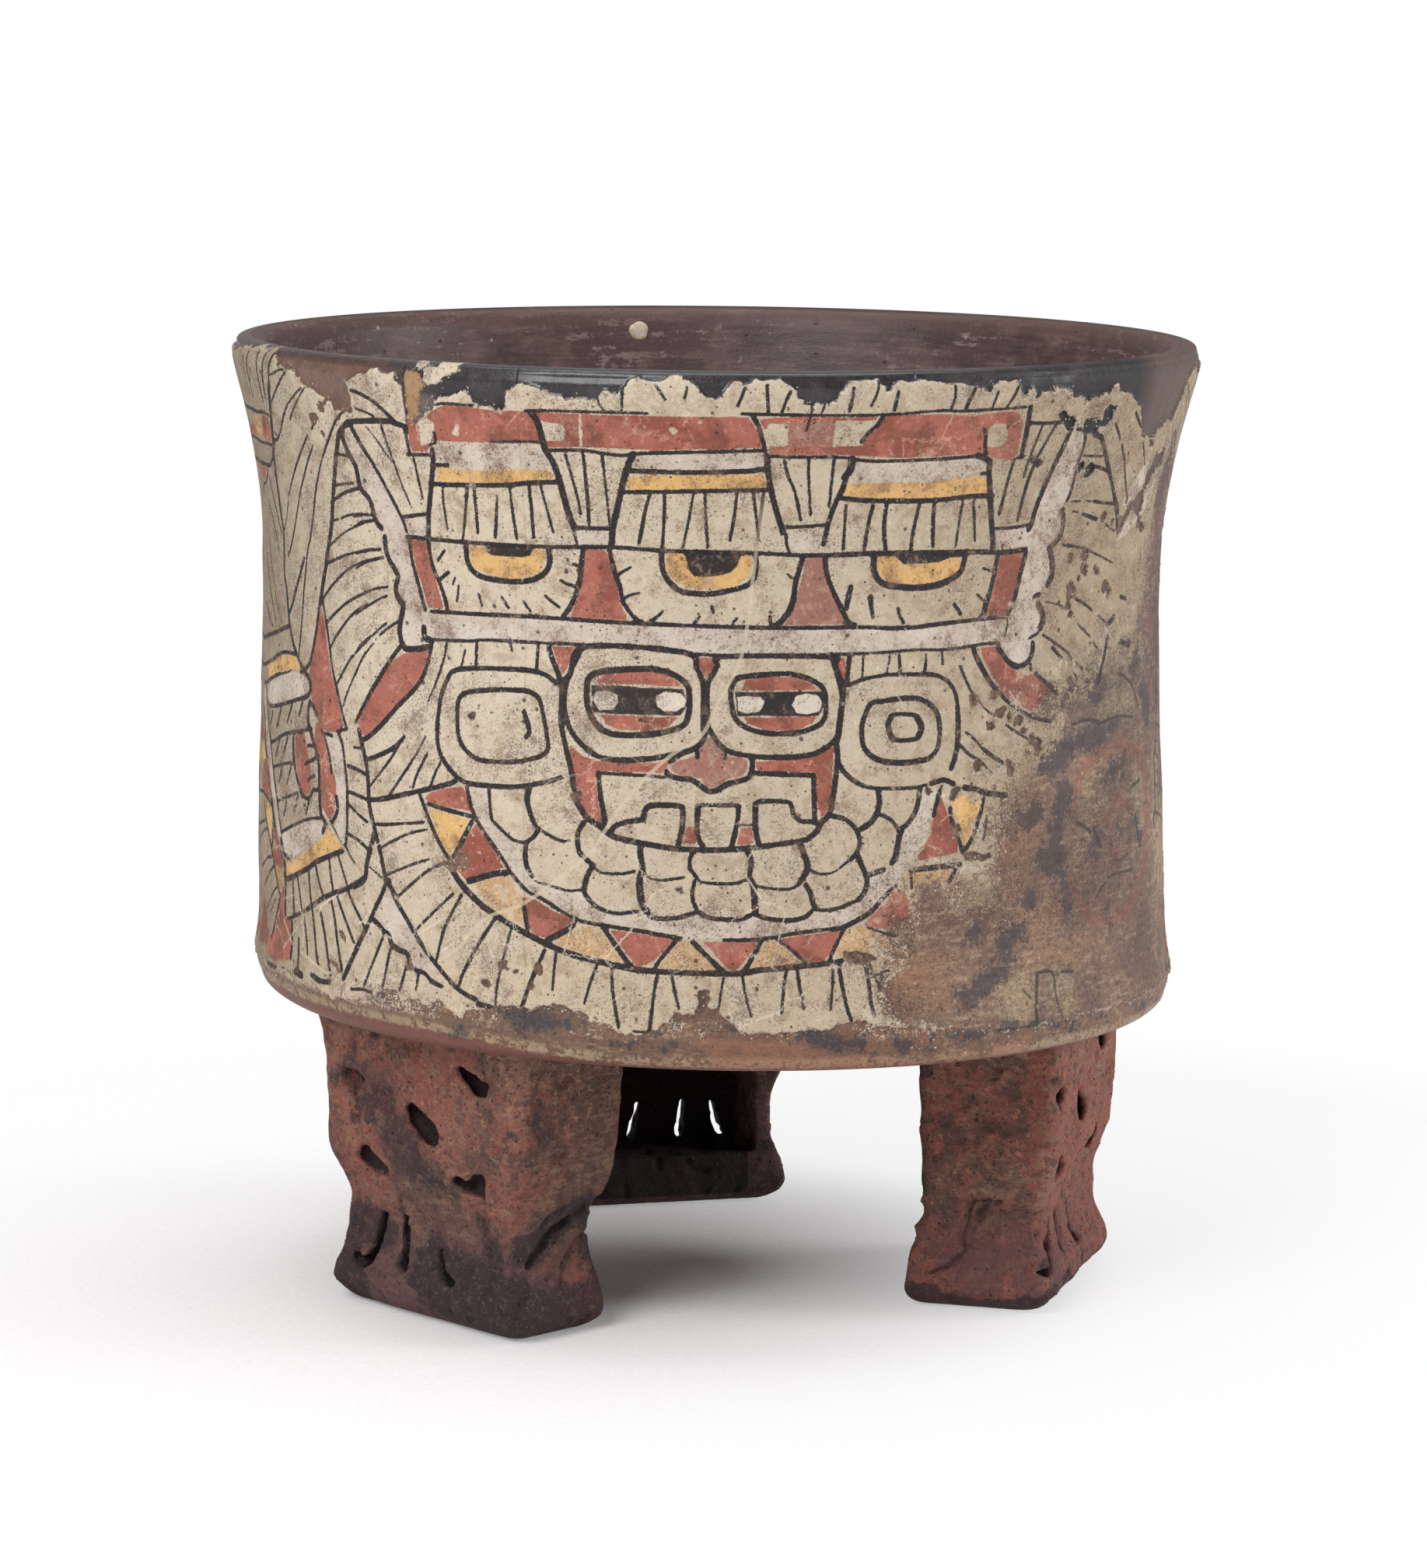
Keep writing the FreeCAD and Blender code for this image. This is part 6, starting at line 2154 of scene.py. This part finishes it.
def photo_camera():
    """The camera where the photograph was taken from."""
    distance, height = 0.94943, 0.23210
    pitch, yaw, roll = 0.151672, -0.00019, 0.00470
    focal, picture_height = 6955.99, 2016.0
    camera = bpy.data.cameras.new("photo_camera")
    camera.sensor_fit = "VERTICAL"
    camera.sensor_height = 24.0
    camera.lens = focal / picture_height * camera.sensor_height
    camera.clip_start = 0.05
    camera.clip_end = 20.0
    ahead = Vector(
        (math.sin(yaw) * math.cos(pitch), math.cos(yaw) * math.cos(pitch), -math.sin(pitch))
    )
    right = ahead.cross(Vector((0, 0, 1))).normalized()
    above = right.cross(ahead)
    side = right * math.cos(roll) + above * math.sin(roll)
    top = above * math.cos(roll) - right * math.sin(roll)
    turn = Matrix((side, top, -ahead)).transposed().to_4x4()
    holder = bpy.data.objects.new("photo_camera", camera)
    holder.matrix_world = Matrix.Translation((0, -distance, height)) @ turn
    bpy.context.scene.collection.objects.link(holder)
    bpy.context.scene.camera = holder


def length(label, text, default):
    return FloatProperty(name=label, description=text, default=default, unit="LENGTH", precision=5)


def colour(label, text, default):
    return FloatVectorProperty(
        name=label, description=text, default=default, size=4, subtype="COLOR", min=0.0, max=1.0
    )


class VesselSizes(bpy.types.PropertyGroup):
    front_grid: length("Front grid", "Step of the mesh that carries the painting in front", 0.00030)
    side_grid: length("Side grid", "Step of the mesh that carries the painting at the sides", 0.00040)
    back_grid: length("Back grid", "Step of the mesh that carries the painting at the back", 0.00055)
    row_grid: length("Row step", "Step of the painted wall's mesh up the wall", 0.00031)
    panel_thickness: length("Panel thickness", "Thickness of the painted wall panels", 0.0022)
    body_grid: length("Body step", "Step of the burnished body's mesh down the inside", 0.0016)
    body_turns: IntProperty(
        name="Body turns", description="Steps of the body's mesh round the axis", default=320, min=64
    )
    clay_grid: length("Clay grid", "Step of the mesh of the supports", 0.00050)
    grit_spacing: length("Grit spacing", "Typical distance between grains in the supports' clay", 0.0021)
    crumb_spacing: length("Crumb spacing", "Typical distance between crumbs at the broken stucco", 0.0012)
    floor_reach: length("Floor reach", "How far the floor stays a real surface before it fades", 0.26)


class VesselColours(bpy.types.PropertyGroup):
    ground: colour("Ground", "Stucco between the painted lines", tone(201, 187, 166))
    # The low tone is stucco darkened as painted shade towards the foot of the wall.
    ground_low: colour("Ground, low", "Stucco near the foot of the wall", tone(188, 170, 145))
    # The right and left tones are stucco darkened as painted shade where the wall turns away.
    ground_right: colour("Ground, right", "Stucco on the right side", tone(160, 144, 118))
    ground_left: colour("Ground, left", "Stucco on the left side", tone(144, 131, 109))
    pale: colour("Pale paint", "Palest painted areas", tone(192, 178, 163))
    red: colour("Red paint", "Iron red of the painted areas", tone(164, 99, 84))
    red_deep: colour("Deep red", "Iron red where it lies thick", tone(132, 70, 58))
    pink: colour("Pink paint", "Thin red over white", tone(150, 102, 90))
    yellow: colour("Yellow paint", "Ochre of the painted areas", tone(210, 168, 108))
    ink: colour("Outline", "Dark outlines", tone(34, 30, 34))
    bare_rim: colour("Bare rim", "Burnished clay at the rim where the stucco is gone", tone(34, 30, 33))
    bare_foot: colour("Bare foot", "Clay at the wall's foot where the stucco is gone", tone(110, 84, 68))
    inside: colour("Inside", "Burnished clay inside", tone(84, 64, 62))
    support: colour("Supports", "Coarse clay of the supports", tone(98, 73, 65))


def chosen_colours(context):
    held = context.scene.vessel_colours
    return {key: tuple(getattr(held, key)) for key in VesselColours.__annotations__}


class MakePaintedWall(bpy.types.Operator):
    """Builds the painted wall in eight panels with crumbs of stucco along its losses"""

    bl_idname = "vessel.painted_wall"
    bl_label = "Painted wall"

    def execute(self, context):
        sizes = context.scene.vessel_sizes
        stucco = painted_stucco(chosen_colours(context))
        panels = [wall_panel(k, stucco, sizes) for k in range(1 - PANELS // 2, PANELS // 2 + 1)]
        crumb = speckled("stucco_crumb", tone(150, 130, 110), tone(200, 186, 166), 0.3)
        density = 1 / (sizes.crumb_spacing / MM) ** 2
        grains_on(
            "stucco_crumbs", panels, along_losses, density, 0.08, 0.24, 0.55, crumb
        )
        return {"FINISHED"}


class MakeBody(bpy.types.Operator):
    """Builds the burnished body, inside and under, and the clay plug below the rim"""

    bl_idname = "vessel.body"
    bl_label = "Body and plug"

    def execute(self, context):
        colours = chosen_colours(context)
        vessel_body(burnished_clay(colours), context.scene.vessel_sizes)
        mend_plug(speckled("plug_clay", tone(182, 164, 140), tone(212, 198, 176), 0.5))
        return {"FINISHED"}


class MakeSupports(bpy.types.Operator):
    """Builds the three hollow supports and presses grit into their clay"""

    bl_idname = "vessel.supports"
    bl_label = "Supports"

    def execute(self, context):
        sizes = context.scene.vessel_sizes
        clay = smoked_clay(chosen_colours(context))
        feet = [support(place, clay, sizes) for place in SUPPORTS]
        grit = speckled("grit", tone(44, 36, 35), tone(92, 68, 60), 0.4, 0.9)
        density = 1 / (sizes.grit_spacing / MM) ** 2
        grains_on("support_grit", feet, over_clay, density, 0.08, 0.26, 0.5, grit)
        return {"FINISHED"}


class MakeStage(bpy.types.Operator):
    """Sets out the floor, the lamps and the camera"""

    bl_idname = "vessel.stage"
    bl_label = "Stage"

    def execute(self, context):
        mesh = bpy.data.meshes.new("floor")
        half = 3.0
        corners = [(-half, -half, 0), (half, -half, 0), (half, half, 0), (-half, half, 0)]
        mesh.from_pydata(corners, [], [(0, 1, 2, 3)])
        mesh.materials.append(pale_floor(context.scene.vessel_sizes.floor_reach))
        floor = bpy.data.objects.new("floor", mesh)
        context.scene.collection.objects.link(floor)
        studio_world()
        middle = (0, 0, 0.10)
        soft_lamp("key", (-0.50, -0.85, 0.75), middle, (0.6, 0.6), 9.2)
        soft_lamp("above", (0.0, 0.05, 1.1), middle, (0.9, 0.9), 6.0)
        soft_lamp("right", (1.0, 0.02, 0.28), (0.05, 0, 0.03), (0.4, 0.5), 5.6)
        photo_camera()
        context.scene.view_settings.view_transform = "Standard"
        return {"FINISHED"}


class VesselPanel(bpy.types.Panel):
    bl_idname = "VIEW3D_PT_vessel"
    bl_label = "Tripod vessel"
    bl_space_type = "VIEW_3D"
    bl_region_type = "UI"
    bl_category = "Vessel"

    def draw(self, context):
        for step in STEPS:
            self.layout.operator(step.bl_idname)
        for held in (context.scene.vessel_sizes, context.scene.vessel_colours):
            box = self.layout.box()
            for key in type(held).__annotations__:
                box.prop(held, key)


STEPS = (MakePaintedWall, MakeBody, MakeSupports, MakeStage)
CLASSES = (VesselSizes, VesselColours, *STEPS, VesselPanel)


def register():
    for kind in CLASSES:
        bpy.utils.register_class(kind)
    bpy.types.Scene.vessel_sizes = PointerProperty(type=VesselSizes)
    bpy.types.Scene.vessel_colours = PointerProperty(type=VesselColours)


def unregister():
    del bpy.types.Scene.vessel_colours
    del bpy.types.Scene.vessel_sizes
    for kind in reversed(CLASSES):
        bpy.utils.unregister_class(kind)


def main():
    register()
    for step in STEPS:
        group, name = step.bl_idname.split(".")
        getattr(getattr(bpy.ops, group), name)()


if __name__ == "__main__":
    main()
